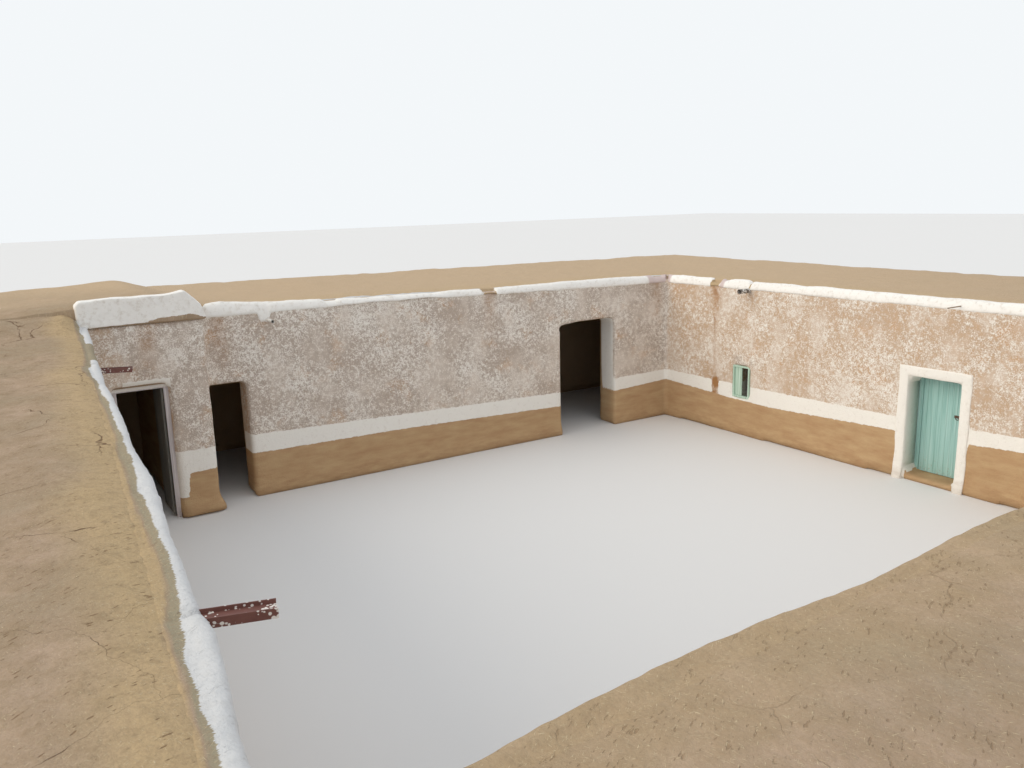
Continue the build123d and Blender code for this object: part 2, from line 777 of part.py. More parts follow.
latch_plane = Plane(origin=east_plane.origin, x_dir=heading("east"), z_dir=-outwards("east"))
with BuildPart() as east_door_latch:
    with BuildSketch(latch_plane.offset(-LEAF_FRONT)):
        with Locations((LATCH_ALONG, LATCH_HEIGHT)):
            RectangleRounded(LATCH_PLATE[0], LATCH_PLATE[1], LATCH_PLATE[2])
    extrude(amount=LATCH_PLATE[2])
    with Locations(latch_plane.offset(LATCH_PLATE[2] + LATCH_RING_WIRE - LEAF_FRONT)):
        with Locations((LATCH_ALONG, LATCH_HEIGHT - LATCH_RING / 2)):
            Torus(LATCH_RING, LATCH_RING_WIRE)

east_sill_block = block(
    "east", EAST_DOOR[0], EAST_DOOR[0] + EAST_DOOR[1], EAST_SILL_SETBACK, WALL, 0, EAST_SILL,
)
with BuildPart() as east_door_sill:
    add(east_sill_block)

SURROUND_SPAN = (EAST_DOOR[0] - SURROUND, EAST_DOOR[0] + EAST_DOOR[1] + SURROUND)
surround_block = block("east", *SURROUND_SPAN, -SURROUND_OUT, 0, 0, EAST_DOOR[2] + SURROUND)
surround_hole = block("east", EAST_DOOR[0], sum(EAST_DOOR[:2]), -SURROUND_OUT, 0, 0, EAST_DOOR[2])
with BuildPart() as east_door_surround:
    add(surround_block)
    add(surround_hole, mode=Mode.SUBTRACT)

# The raised room's door stands open, and hangs at the east end of its opening.
room_pin = sum(ROOM_DOOR[:2]) - STILE - PIN_INSET
room_back = ROOM_FRAME_BACK - ROOM_FORWARD
room_shut = door_plane("north", room_pin, room_back, -1)
room_open = door_plane("north", room_pin, room_back, -1, ROOM_DOOR_OPEN)
room_sizes = door_sizes(ROOM_DOOR, 0, ROOM_LEAF_OFF_GROUND)
room_frame_pieces = door_frame(room_shut, -1, ROOM_DOOR, 0)
with BuildPart() as room_door_frame:
    add(room_frame_pieces)

room_leaf_pieces = door_leaf(room_open, -1, room_sizes)
with BuildPart() as room_door_leaf:
    add(room_leaf_pieces)

room_strap_pieces = door_straps(room_open, -1, room_sizes)
with BuildPart() as room_door_straps:
    add(room_strap_pieces)

pin_pieces = door_pins(east_plane, 1, east_sizes) + door_pins(room_shut, -1, room_sizes)
with BuildPart() as door_hinge_pins:
    add(pin_pieces)

# The window: a frame near the courtyard face, one shutter shut and the other open inwards.
window_start, window_width, window_head = WINDOW
window_end = window_start + window_width
frame_back = WINDOW_SETBACK + WINDOW_FRAME_DEPTH
window_outer = block(
    "east", window_start, window_end, WINDOW_SETBACK, frame_back, WINDOW_SILL, window_head,
)
window_inner = block(
    "east", window_start + WINDOW_FRAME, window_end - WINDOW_FRAME, WINDOW_SETBACK, frame_back,
    WINDOW_SILL + WINDOW_FRAME, window_head - WINDOW_FRAME,
)
with BuildPart() as window_frame:
    add(window_outer)
    add(window_inner, mode=Mode.SUBTRACT)

shutter_low = WINDOW_SILL + WINDOW_FRAME + SHUTTER_GAP
shutter_high = window_head - WINDOW_FRAME - SHUTTER_GAP
shutter_width = (window_width - 2 * WINDOW_FRAME) / 2 - SHUTTER_GAP
shut_start = window_start + WINDOW_FRAME
shutter_shut = block(
    "east", shut_start, shut_start + shutter_width, frame_back - SHUTTER, frame_back,
    shutter_low, shutter_high,
)
open_start = window_end - WINDOW_FRAME
shutter_open = block(
    "east", open_start, open_start + SHUTTER, frame_back, frame_back + shutter_width,
    shutter_low, shutter_high,
)
with BuildPart() as window_shutters:
    add([shutter_shut, shutter_open])

# The street door, shut against its reveal.
street_face = RANGE_DEPTH - STREET_LEAF_SETBACK
street_block = block(
    "south", STREET_DOOR[0], sum(STREET_DOOR[:2]), street_face - STREET_LEAF, street_face,
    0, STREET_DOOR[2],
)
with BuildPart() as street_door:
    add(street_block)

NODES = {
    "north_wall": north_wall,
    "north_wall_over_doorways": north_wall_over_doorways,
    "east_wall": east_wall,
    "east_wall_over_openings": east_wall_over_openings,
    "south_wall": south_wall,
    "south_wall_over_doorways": south_wall_over_doorways,
    "west_wall": west_wall,
    "west_wall_over_doorways": west_wall_over_doorways,
    "outer_north_wall": outer_north_wall,
    "outer_east_wall": outer_east_wall,
    "outer_south_wall": outer_south_wall,
    "outer_south_wall_over_door": outer_south_wall_over_door,
    "outer_west_wall": outer_west_wall,
    "raised_room_west_wall": raised_room_west_wall,
    "raised_room_north_wall": raised_room_north_wall,
    "raised_room_side_walls": raised_room_side_walls,
    "raised_room_wall_over_door": raised_room_wall_over_door,
    "north_roof": north_roof,
    "east_roof": east_roof,
    "south_roof": south_roof,
    "west_roof": west_roof,
    "raised_room_roof": raised_room_roof,
    "north_coping": north_coping,
    "east_coping": east_coping,
    "south_coping": south_coping,
    "west_coping": west_coping,
    "raised_room_coping": raised_room_coping,
    "roof_logs": roof_logs,
    "corner_girders": corner_girders,
    "doorway_lintels": doorway_lintels,
    "steel_spouts": steel_spouts,
    "pipe_spouts": pipe_spouts,
    "roof_stick": roof_stick,
    "east_door_surround": east_door_surround,
    "east_door_sill": east_door_sill,
    "east_door_frame": east_door_frame,
    "east_door_leaf": east_door_leaf,
    "east_door_straps": east_door_straps,
    "east_door_latch": east_door_latch,
    "door_hinge_pins": door_hinge_pins,
    "room_door_frame": room_door_frame,
    "room_door_leaf": room_door_leaf,
    "room_door_straps": room_door_straps,
    "window_frame": window_frame,
    "window_shutters": window_shutters,
    "street_door": street_door,
}
for name, node in NODES.items():
    node.part.label = name
    export_step(node.part, f"parts/{name}.step")
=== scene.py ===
# %% [markdown]
# An adobe house: four ranges of rooms round a courtyard, with rammed-earth walls, roofs of
# packed earth and straw, and lips of white lime. Its solids come from the CAD model. This
# lesson gives them hand-laid shapes, and surfaces of earth, lime, timber and paint.

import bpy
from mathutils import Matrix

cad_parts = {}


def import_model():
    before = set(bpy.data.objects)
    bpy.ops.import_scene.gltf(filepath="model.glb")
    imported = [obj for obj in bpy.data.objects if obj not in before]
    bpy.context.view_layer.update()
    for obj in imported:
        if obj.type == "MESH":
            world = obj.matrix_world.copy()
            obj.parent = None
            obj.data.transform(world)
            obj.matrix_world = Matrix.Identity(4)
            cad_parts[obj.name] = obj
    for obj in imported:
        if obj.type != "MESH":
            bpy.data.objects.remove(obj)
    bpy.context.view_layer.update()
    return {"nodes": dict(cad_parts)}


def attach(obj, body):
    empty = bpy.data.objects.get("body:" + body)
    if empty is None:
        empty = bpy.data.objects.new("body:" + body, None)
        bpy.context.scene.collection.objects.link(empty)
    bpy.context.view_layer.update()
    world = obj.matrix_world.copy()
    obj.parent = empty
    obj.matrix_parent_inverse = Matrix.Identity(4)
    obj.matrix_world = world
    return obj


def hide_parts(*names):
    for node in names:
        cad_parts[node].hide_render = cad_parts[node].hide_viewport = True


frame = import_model()

# %% [markdown]
# Everything here is in metres, as the frame is. NumPy moves many points at once, which suits
# walls that are wavy all over.

# %% Modules
import itertools
import math

import bmesh
import bpy
import numpy as np
from mathutils import Matrix, Vector

rng = np.random.default_rng(7)
print("numpy", np.__version__)

# %% [markdown]
# Colours are written as sRGB hex values, as a paint chart gives them. Blender's shaders work
# in linear light, so one function converts them.

# %% Colours
def paint(code):
    """An sRGB hex colour as linear red, green and blue, with full alpha."""
    values = [int(code[i:i + 2], 16) / 255 for i in (1, 3, 5)]
    return (*[v / 12.92 if v <= 0.04045 else ((v + 0.055) / 1.055) ** 2.4 for v in values], 1)


print("limewash in linear light:", [round(v, 3) for v in paint("#F3EFE6")])

# %% [markdown]
# Materials are made of nodes. One helper adds a node of any kind, sets its options, and fills
# or links its inputs. In a Map Range, inputs 1 and 2 are the range that comes in, and 3 and 4
# the range that goes out. Another helper starts a material, and puts the numbers that hold all
# over it on the shader's own sockets. The last one gives it its colour and its relief, which
# adds up patterns, each with its height in metres.

# %% Node helpers
def add(tree, kind, inputs=None, out=0, **settings):
    """Adds a shader node with its settings and links, and gives back one of its outputs."""
    node = tree.nodes.new("ShaderNode" + kind)
    for name, value in settings.items():
        setattr(node, name, value)
    for name, value in (inputs or {}).items():
        if isinstance(value, bpy.types.NodeSocket):
            tree.links.new(value, node.inputs[name])
        else:
            node.inputs[name].default_value = paint(value) if isinstance(value, str) else value
    return node.outputs[out]


def start_material(name, **numbers):
    """A new material, with its node tree, its shader and the object's own coordinates."""
    material = bpy.data.materials.new(name)
    material.use_nodes = True
    tree = material.node_tree
    shader = tree.nodes["Principled BSDF"]
    for socket, value in numbers.items():
        shader.inputs[socket.replace("_", " ")].default_value = value
    return material, tree, shader, add(tree, "TexCoord", out="Object")


def finish_material(tree, shader, colour, layers, strength=1.0):
    """Gives a shader its colour, and a relief of several patterns with their heights."""
    tree.links.new(colour, shader.inputs["Base Color"])
    relief = 0.0
    for pattern, height in layers:
        relief = add(tree, "Math", {0: pattern, 1: height, 2: relief}, operation="MULTIPLY_ADD")
    bump = add(tree, "Bump", {"Height": relief, "Strength": strength, "Distance": 1.0})
    tree.links.new(bump, shader.inputs["Normal"])


print("three node helpers")

# %% [markdown]
# The photograph looks over the courtyard from above the roof's south-west corner. The camera
# is set by its place and three angles, so each can be tuned alone: the yaw turns it from
# north towards east, the pitch tips it down, and the roll leans it.

# %% Camera
CAMERA_PLACE = (-6.928, -8.196, 4.98)
CAMERA_YAW, CAMERA_PITCH, CAMERA_ROLL = 32.04, 12.2, -1.46
LENS, SENSOR = 30.3, 36


def camera_matrix(place, yaw, pitch, roll):
    """Where a camera stands and points. Angles are in degrees, and pitch is downwards."""
    yaw, pitch, roll = [math.radians(angle) for angle in (yaw, pitch, roll)]
    ahead = Vector((math.sin(yaw), math.cos(yaw), 0))
    right = Vector((math.cos(yaw), -math.sin(yaw), 0))
    up = Vector((0, 0, 1))
    aim = ahead * math.cos(pitch) - up * math.sin(pitch)
    top = ahead * math.sin(pitch) + up * math.cos(pitch)
    across = right * math.cos(roll) + top * math.sin(roll)
    top = top * math.cos(roll) - right * math.sin(roll)
    turn = Matrix((across, top, -aim)).transposed()
    return Matrix.Translation(place) @ turn.to_4x4()


camera = bpy.data.objects.new("camera", bpy.data.cameras.new("camera"))
bpy.context.scene.collection.objects.link(camera)
camera.data.lens, camera.data.sensor_width = LENS, SENSOR
camera.matrix_world = camera_matrix(CAMERA_PLACE, CAMERA_YAW, CAMERA_PITCH, CAMERA_ROLL)
bpy.context.scene.camera = camera
print("camera at", tuple(round(v, 2) for v in camera.matrix_world.translation))

# %% [markdown]
# The light is a plain soft studio's: an even pale world all round, and one very wide warm
# lamp from the west, where the photograph's light comes from. The levels are chosen so that
# a colour renders about as it is written. The camera sees a near-white world behind, which
# puts no light on the house. The floor is plain and pale, and isn't part of the house.

# %% Light and floor
WORLD_LEVEL, WORLD_COLOUR = 0.90, (0.91, 0.95, 1.0, 1)
BEHIND_COLOUR = (0.90, 0.93, 0.95, 1)
SUN_LEVEL, SUN_COLOUR = 1.45, (1.0, 0.90, 0.76)
SUN_FROM, SUN_WIDTH = Vector((-0.85, 0.16, 0.50)), math.radians(45)
FLOOR_HALF = 150

studio = bpy.data.worlds.new("studio")
bpy.context.scene.world = studio
studio.use_nodes = True
tree = studio.node_tree
light = tree.nodes["Background"]
light.inputs["Color"].default_value = WORLD_COLOUR
light.inputs["Strength"].default_value = WORLD_LEVEL
behind = add(tree, "Background", {"Color": BEHIND_COLOUR})
rays = [add(tree, "LightPath", out=f"Is {ray} Ray") for ray in ("Camera", "Glossy", "Transmission")]
seen = add(tree, "Math", {0: rays[0], 1: rays[1]})
seen = add(tree, "Math", {0: seen, 1: rays[2]})
backed = add(tree, "MixShader", {0: seen, 1: light.outputs[0], 2: behind})
tree.links.new(backed, tree.nodes["World Output"].inputs["Surface"])

sun = bpy.data.objects.new("wide_lamp", bpy.data.lights.new("wide_lamp", "SUN"))
bpy.context.scene.collection.objects.link(sun)
sun.data.energy, sun.data.angle, sun.data.color = SUN_LEVEL, SUN_WIDTH, SUN_COLOUR
sun.rotation_euler = SUN_FROM.to_track_quat("Z", "Y").to_euler()

h = FLOOR_HALF
floor_mesh = bpy.data.meshes.new("floor")
floor_mesh.from_pydata([(-h, -h, 0), (h, -h, 0), (h, h, 0), (-h, h, 0)], [], [(0, 1, 2, 3)])
floor = bpy.data.objects.new("floor", floor_mesh)
bpy.context.scene.collection.objects.link(floor)
bpy.context.scene.view_settings.view_transform = "Standard"
print("lamp level", SUN_LEVEL, "and world level", WORLD_LEVEL)

# %% [markdown]
# The floor is a matt pale grey.

# %% Floor finish
floor_paint, tree, shader, where = start_material("matt_floor_paint", Roughness=0.9)
shader.inputs["Base Color"].default_value = paint("#E2E1DF")
floor_mesh.materials.append(floor_paint)
print("floor", 2 * FLOOR_HALF, "m wide")

# %% [markdown]
# The courtyard is hand laid and not quite square, so each side has its own line. A place on
# the house is given as on a builder's plan: how far along a side, how far behind its
# courtyard face, and how high. The sides run clockwise, as in the CAD source.

# %% Sides of the courtyard
CORNERS = {
    "north": (-5.45907, 6.30814), "east": (6.31093, 6.30814),
    "south": (6.61275, -5.21791), "west": (-6.38731, -6.03701),
}
ORDER = list(CORNERS)
LINES = {}
for side, following in zip(ORDER, ORDER[1:] + ORDER[:1]):
    first, last = np.array(CORNERS[side]), np.array(CORNERS[following])
    length = np.linalg.norm(last - first)
    along = (last - first) / length
    LINES[side] = (first, along, np.array([-along[1], along[0]]), length)


def world(side, s, o, z):
    """Points from their places along and behind a side and their heights."""
    s, o, z = np.broadcast_arrays(*[np.asarray(v, float) for v in (s, o, z)])
    first, along, outwards, _ = LINES[side]
    plan = first + s[..., None] * along + o[..., None] * outwards
    return np.concatenate([plan, z[..., None]], axis=-1)


def local(side, points):
    """How far along a side and behind its courtyard face each point is."""
    first, along, outwards, _ = LINES[side]
    return (points[..., :2] - first) @ along, (points[..., :2] - first) @ outwards


def crossing(side, o, other, other_o):
    """How far along a side its line at o meets another side's line at other_o."""
    first, along, outwards, _ = LINES[side]
    other_first, _, other_outwards, _ = LINES[other]
    o, other_o = [np.asarray(v, float)[..., None] for v in (o, other_o)]
    gap = other_first + other_outwards * other_o - first - outwards * o
    return (gap @ other_outwards) / (along @ other_outwards)


print({side: round(float(line[3]), 2) for side, line in LINES.items()})

# %% [markdown]
# Hand-laid earth is never flat. Its waves come from value noise: random heights on a lattice,
# eased from one to the next. Multiplying and shuffling the bits of a lattice point's numbers
# gives its random height. The same seed gives the same waves, so neighbouring pieces meet.

# %% Waves
LATTICE = np.array([73856093, 19349663, 83492791])
LATTICE_START, SEED_STEP, ALL_BITS = 1000, 2654435761, 0xFFFFFFFF
SHUFFLES = ((15, 2246822519), (13, 3266489917))


def ease(value, low, high):
    """0 below low, 1 above high, and a smooth step between."""
    share = np.clip((value - low) / (high - low), 0, 1)
    return share * share * (3 - 2 * share)


def waves(points, size, seed=0, octaves=1):
    """Smooth random heights from about -1 to 1 at points. The widest are size metres across."""
    total, weight = 0, 1
    for octave in range(octaves):
        place = points * (2 ** octave / size) + LATTICE_START
        cell = np.floor(place).astype(np.int64)
        share = ease(place - cell, 0, 1)
        for corner in itertools.product((0, 1), repeat=points.shape[-1]):
            mixed = (cell + corner) @ LATTICE[:points.shape[-1]]
            mixed = (mixed + (seed + octave) * SEED_STEP) & ALL_BITS
            for shift, factor in SHUFFLES:
                mixed = ((mixed ^ (mixed >> shift)) * factor) & ALL_BITS
            height = (mixed ^ (mixed >> 16)) / (ALL_BITS // 2) - 1
            total = total + weight * height * np.prod(np.where(corner, share, 1 - share), axis=-1)
        weight /= 2
    return total


def plan_waves(points, size, seed, octaves=1):
    """Waves that are the same at every height, so that a roof and its lip share them."""
    return waves(points * (1, 1, 0), size, seed, octaves)


print("waves at three points:", waves(np.eye(3), 0.7, 1).round(2))

# %% [markdown]
# Two ways of making a piece serve for the earthwork. A wall is taken from its CAD solids: they
# are joined, remeshed as one skin of small squares, and then moved point by point. A roof or a
# lip is lofted: rings of points, one after another, with an end cap on each side.

# %% Piece helpers
def place_piece(name, mesh, material, body, replaced, smooth=True):
    """Puts a mesh in the scene as a piece that rides on a body and replaces CAD nodes."""
    mesh.materials.clear()
    mesh.materials.append(material)
    mesh.polygons.foreach_set("use_smooth", [smooth] * len(mesh.polygons))
    piece = bpy.data.objects.new(name, mesh)
    bpy.context.scene.collection.objects.link(piece)
    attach(piece, body)
    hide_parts(*replaced)
    print(name, "with", len(mesh.polygons), "faces")


def joined_mesh(nodes, meshes=()):
    """The meshes of several CAD nodes, and any others, as one."""
    joined = bmesh.new()
    for source in [frame["nodes"][node].data for node in nodes] + list(meshes):
        joined.from_mesh(source)
    mesh = bpy.data.meshes.new("joined")
    joined.to_mesh(mesh)
    joined.free()
    return mesh


def remeshed(mesh, size, smoothing):
    """One skin of small squares round a mesh, with softened edges."""
    holder = bpy.data.objects.new("holder", mesh)
    bpy.context.scene.collection.objects.link(holder)
    skin = holder.modifiers.new("skin", "REMESH")
    skin.mode, skin.voxel_size = "VOXEL", size
    soft = holder.modifiers.new("soft", "SMOOTH")
    soft.factor, soft.iterations = 0.5, smoothing
    ready = holder.evaluated_get(bpy.context.evaluated_depsgraph_get())
    result = bpy.data.meshes.new_from_object(ready)
    bpy.data.objects.remove(holder)
    return result


def points_of(mesh):
    """The points of a mesh, and the direction that each one faces."""
    points = np.empty(len(mesh.vertices) * 3)
    normals = np.empty(len(mesh.vertices) * 3)
    mesh.vertices.foreach_get("co", points)
    mesh.vertex_normals.foreach_get("vector", normals)
    return points.reshape(-1, 3), normals.reshape(-1, 3)


def move_points(mesh, points):
    """Gives the points of a mesh their new places."""
    mesh.vertices.foreach_set("co", points.ravel())
    mesh.update()


def store(mesh, **values):
    """Stores a number on each point, for the materials to read."""
    for name, value in values.items():
        layer = mesh.attributes.new(name, "FLOAT", "POINT")
        layer.data.foreach_set("value", np.asarray(value, np.float32).ravel())


def lofted(name, rings, **values):
    """A closed mesh from rings of points, with numbers stored on them."""
    count, around = rings.shape[:2]
    index = np.arange(count * around).reshape(count, around)
    after = np.roll(index, -1, axis=1)
    sides = np.stack([index[:-1], after[:-1], after[1:], index[1:]], axis=-1).reshape(-1, 4)
    caps = [index[0][::-1].tolist(), index[-1].tolist()]
    mesh = bpy.data.meshes.new(name)
    mesh.from_pydata(rings.reshape(-1, 3).tolist(), [], sides.tolist() + caps)
    shape = bmesh.new()
    shape.from_mesh(mesh)
    bmesh.ops.recalc_face_normals(shape, faces=shape.faces)
    for cap in [face for face in shape.faces if len(face.verts) > 4]:
        for edge in cap.edges:
            edge.smooth = False
    shape.to_mesh(mesh)
    shape.free()
    store(mesh, **values)
    return mesh


print("piece helpers ready")

# %% [markdown]
# The walls round the courtyard are rammed earth with a mud render. Above, whitewash was thrown
# at it from a broom, so that it sticks in specks. Rain has washed pale patches into it, and
# has left brown stains under the spouts. A speck is drawn 2 cm wide, a little coarser than a
# real one, so that it shows, in clusters of a hand's width and patches of an arm's length.
# Noise at these three sizes is added up, and what passes a limit is whitewash. Dry mud is
# matt, with an IOR near 1.5 and little gloss.

# %% Whitewashed mud render
SPECK, SPECK_CLUSTER, SPECK_PATCH = 0.022, 0.075, 0.6
RUST_PATCH, STAIN_PATCH = 0.45, 0.22
RAIN_PATCH = (0.5, 0.5, 0.75)

render_wall, tree, shader, where = start_material(
    "whitewashed_mud_render", Roughness=0.95, IOR=1.5, Specular_IOR_Level=0.2)
fine = add(tree, "TexNoise", {"Vector": where, "Scale": 1 / SPECK, "Detail": 3.0, "Roughness": 0.6})
cluster = add(tree, "TexNoise", {"Vector": where, "Scale": 1 / SPECK_CLUSTER, "Detail": 1.0})
patch = add(tree, "TexNoise",
            {"Vector": where, "Scale": 1 / SPECK_PATCH, "Detail": 3.0, "Roughness": 0.6})
cast = add(tree, "Attribute", out="Fac", attribute_name="cast")
specks = add(tree, "Math", {0: fine, 1: 0.62}, operation="MULTIPLY")
for pattern, share in ((cluster, 0.22), (patch, 0.30), (cast, 0.01)):
    specks = add(tree, "Math", {0: pattern, 1: share, 2: specks}, operation="MULTIPLY_ADD")
specks = add(tree, "MapRange", {"Value": specks, 1: 0.54, 2: 0.675})

# The mud greys and blues with the cast share; on the north wall this is painted shade.
mud = add(tree, "MixRGB", {0: cast, 1: "#D0A97F", 2: "#B6A89D"})
mud = add(tree, "MixRGB", {0: cluster, 1: mud, 2: "#BFAB98"})
rusty = add(tree, "TexNoise",
            {"Vector": where, "Scale": 1 / RUST_PATCH, "Detail": 4.0, "Roughness": 0.65})
rusty = add(tree, "MapRange", {"Value": rusty, 1: 0.55, 2: 0.72, 3: 0.0, 4: 0.75})
mud = add(tree, "MixRGB", {0: rusty, 1: mud, 2: "#C8A27E"})
speckled = add(tree, "MixRGB", {0: specks, 1: mud, 2: "#F0EAE1"})
rain = add(tree, "Mapping", {"Vector": where, "Scale": [1 / size for size in RAIN_PATCH]})
rain = add(tree, "TexNoise", {"Vector": rain, "Scale": 1.0, "Detail": 5.0, "Roughness": 0.6})
rain = add(tree, "MapRange", {"Value": rain, 1: 0.49, 2: 0.66, 3: 0.0, 4: 0.55})
speckled = add(tree, "MixRGB", {0: rain, 1: speckled, 2: "#E2D6C9"})
stain = add(tree, "Attribute", out="Fac", attribute_name="stain")
patchy = add(tree, "TexNoise",
             {"Vector": where, "Scale": 1 / STAIN_PATCH, "Detail": 5.0, "Roughness": 0.65})
patchy = add(tree, "MapRange", {"Value": patchy, 1: 0.38, 2: 0.58, 3: 0.15, 4: 0.9})
stain = add(tree, "Math", {0: stain, 1: patchy}, operation="MULTIPLY")
speckled = add(tree, "MixRGB", {0: stain, 1: speckled, 2: "#A67A50"})
print("specks of", SPECK, "m in clusters of", SPECK_CLUSTER, "m")

# %% [markdown]
# A band of limewash runs round at hip height, and below it the render is smooth brown mud,
# smeared on by hand and damp at its foot. The wall stores how far each point is inside the
# lime and the lower render, and the material draws the edges from that, with a brush's
# wobble. Thick limewash is a matt near-white, with a little dirt in its hollows.

# %% Lime and smooth mud
BRUSH_WOBBLE, GRIT = 0.09, 0.03
SMEARS_PER_METRE, DIRT_PER_METRE = 1.6, 14.0

wobble = add(tree, "TexNoise",
             {"Vector": where, "Scale": 1 / BRUSH_WOBBLE, "Detail": 4.0, "Roughness": 0.6})
wobble = add(tree, "Math", {0: wobble, 1: 0.5}, operation="SUBTRACT")
limed = add(tree, "Attribute", out="Fac", attribute_name="limed")
limed = add(tree, "Math", {0: wobble, 1: 0.06, 2: limed}, operation="MULTIPLY_ADD")
limed = add(tree, "MapRange", {"Value": limed, 1: -0.004, 2: 0.004}, interpolation_type="SMOOTHSTEP")
lower = add(tree, "Attribute", out="Fac", attribute_name="lower")
lower = add(tree, "MapRange", {"Value": lower, 1: -0.01, 2: 0.01}, interpolation_type="SMOOTHSTEP")

smear = add(tree, "Mapping", {"Vector": where, "Scale": (1.2, 1.2, 5.0)})
smear = add(tree, "TexNoise",
            {"Vector": smear, "Scale": SMEARS_PER_METRE, "Detail": 5.0, "Roughness": 0.65})
smear = add(tree, "MapRange", {"Value": smear, 1: 0.3, 2: 0.7})
smooth_mud = add(tree, "MixRGB", {0: smear, 1: "#B28E69", 2: "#C5A780"})
height = add(tree, "SeparateXYZ", {0: where}, out="Z")
damp = add(tree, "Math", {0: smear, 1: 0.25, 2: height}, operation="MULTIPLY_ADD")
damp = add(tree, "MapRange", {"Value": damp, 1: 0.10, 2: 0.34, 3: 0.35, 4: 0.0})
smooth_mud = add(tree, "MixRGB", {0: damp, 1: smooth_mud, 2: "#9C7D5E"})

dirt = add(tree, "TexNoise",
           {"Vector": where, "Scale": DIRT_PER_METRE, "Detail": 6.0, "Roughness": 0.7})
dirt = add(tree, "MapRange", {"Value": dirt, 1: 0.56, 2: 0.95})
lime = add(tree, "MixRGB", {0: dirt, 1: "#F4F0E8", 2: "#CFC5B8"})
lime = add(tree, "MixRGB", {0: damp, 1: lime, 2: "#9C7D5E"})

colour = add(tree, "MixRGB", {0: lower, 1: speckled, 2: smooth_mud})
colour = add(tree, "MixRGB", {0: limed, 1: colour, 2: lime})
grit = add(tree, "TexNoise", {"Vector": where, "Scale": 1 / GRIT, "Detail": 5.0, "Roughness": 0.7})
finish_material(tree, shader, colour, [(specks, 0.004), (grit, 0.010), (limed, 0.003)], 0.8)
print(render_wall.name, "with", len(tree.nodes), "nodes")

# %% [markdown]
# The heights of the lime band's two edges are read along each side of the courtyard, from the
# photograph where it shows them. Doorways are given as where they start and end and, where it
# matters, how high they are. The raised room stands forward of the north wall.

# %% Lime band
BAND_TOP = {
    "north": ([1.0, 2.3, 5.1, 8.82, 10.27, 11.77], [1.11, 1.11, 1.03, 0.94, 1.04, 1.07]),
    "east": ([0, 2.4, 5.7, 7.0, 7.9, 11.5], [1.07, 1.05, 1.08, 1.11, 1.16, 1.15]),
    "south": ([0, 6, 13], [1.15, 1.06, 1.1]),
    "west": ([0, 6, 12.4], [1.1, 1.02, 1.11]),
}
BAND_LOW = {
    "north": ([1.0, 2.3, 5.1, 8.82, 10.27, 11.77], [0.73, 0.78, 0.75, 0.64, 0.76, 0.84]),
    "east": ([0, 1.9, 3.0, 5.7, 7.0, 7.9, 11.5], [0.84, 0.74, 0.72, 0.83, 0.86, 0.93, 0.9]),
    "south": ([0, 6, 13], [0.9, 0.8, 0.84]),
    "west": ([0, 6, 12.4], [0.84, 0.75, 0.73]),
}
WALL, ROOM_FORWARD, ROOM_EAST = 0.55, 0.35, 1.63
ROOM_DOORWAY = (0.17, 1.01)
TALL_DOORWAY = (8.82, 10.27, 2.39)
EAST_DOORWAY = (5.90, 6.83, 1.845)


def wall_places(points):
    """Each point's side, its place along it, its depth behind the face, and if the room's."""
    s, o = np.stack([np.stack(local(side, points)) for side in ORDER], axis=1)
    lengths = np.array([LINES[side][3] for side in ORDER])[:, None]
    away = np.abs(o) + 10 * ((s < -0.7) | (s > lengths + 0.7))
    nearest = away.argmin(axis=0)
    s, o = s[nearest, np.arange(len(points))], o[nearest, np.arange(len(points))]
    in_room = (nearest == 0) & (s < ROOM_EAST + 0.02)
    return nearest, s, o + ROOM_FORWARD * in_room, in_room


def band_edges(nearest, s):
    """The heights of the band's upper and lower edge at each point."""
    top, low = np.zeros(len(s)), np.zeros(len(s))
    for number, side in enumerate(ORDER):
        chosen = nearest == number
        top[chosen] = np.interp(s[chosen], *BAND_TOP[side])
        low[chosen] = np.interp(s[chosen], *BAND_LOW[side])
    return top, low


print("band heights for", len(BAND_TOP), "sides")

# %% [markdown]
# Besides the band, lime covers the surround of the east door, a strip by the room's west end,
# the head of the room's doorway, a splash beside it and the reveal of the tall doorway. The
# east band is worn through below a spout. Whitewash lies thickest on the north wall, and also
# over the window. The same share makes the mud between the specks greyer and bluer, which on
# the north wall is painted shade. Each of these is a distance or a share, worked out from a
# point's place.

# %% Lime and stains on the walls
WORN_PLACE, WORN_HALF, WORN_REACH = 1.5, 0.085, 0.35
EAST_LIMED = (5.76, 6.97, 1.98)
EAST_STEP = (5.93, 6.80, 0.13)
ROOM_HEAD_LIME = (2.19, 2.345)
STRIP_WIDTH, STRIP_FLARE, STRIP_LOW = 0.12, 0.35, 2.86
REVEAL_LOW = 0.78
WINDOW_TOP, WINDOW_CAST = (2.28, 1.58), (0.25, 0.09)
NORTH_STAINS = [(0.75, 0.12), (1.95, 0.15), (7.15, 0.12), (11.5, 0.15)]
EAST_STAIN = 1.45
CLEAR = 0.2


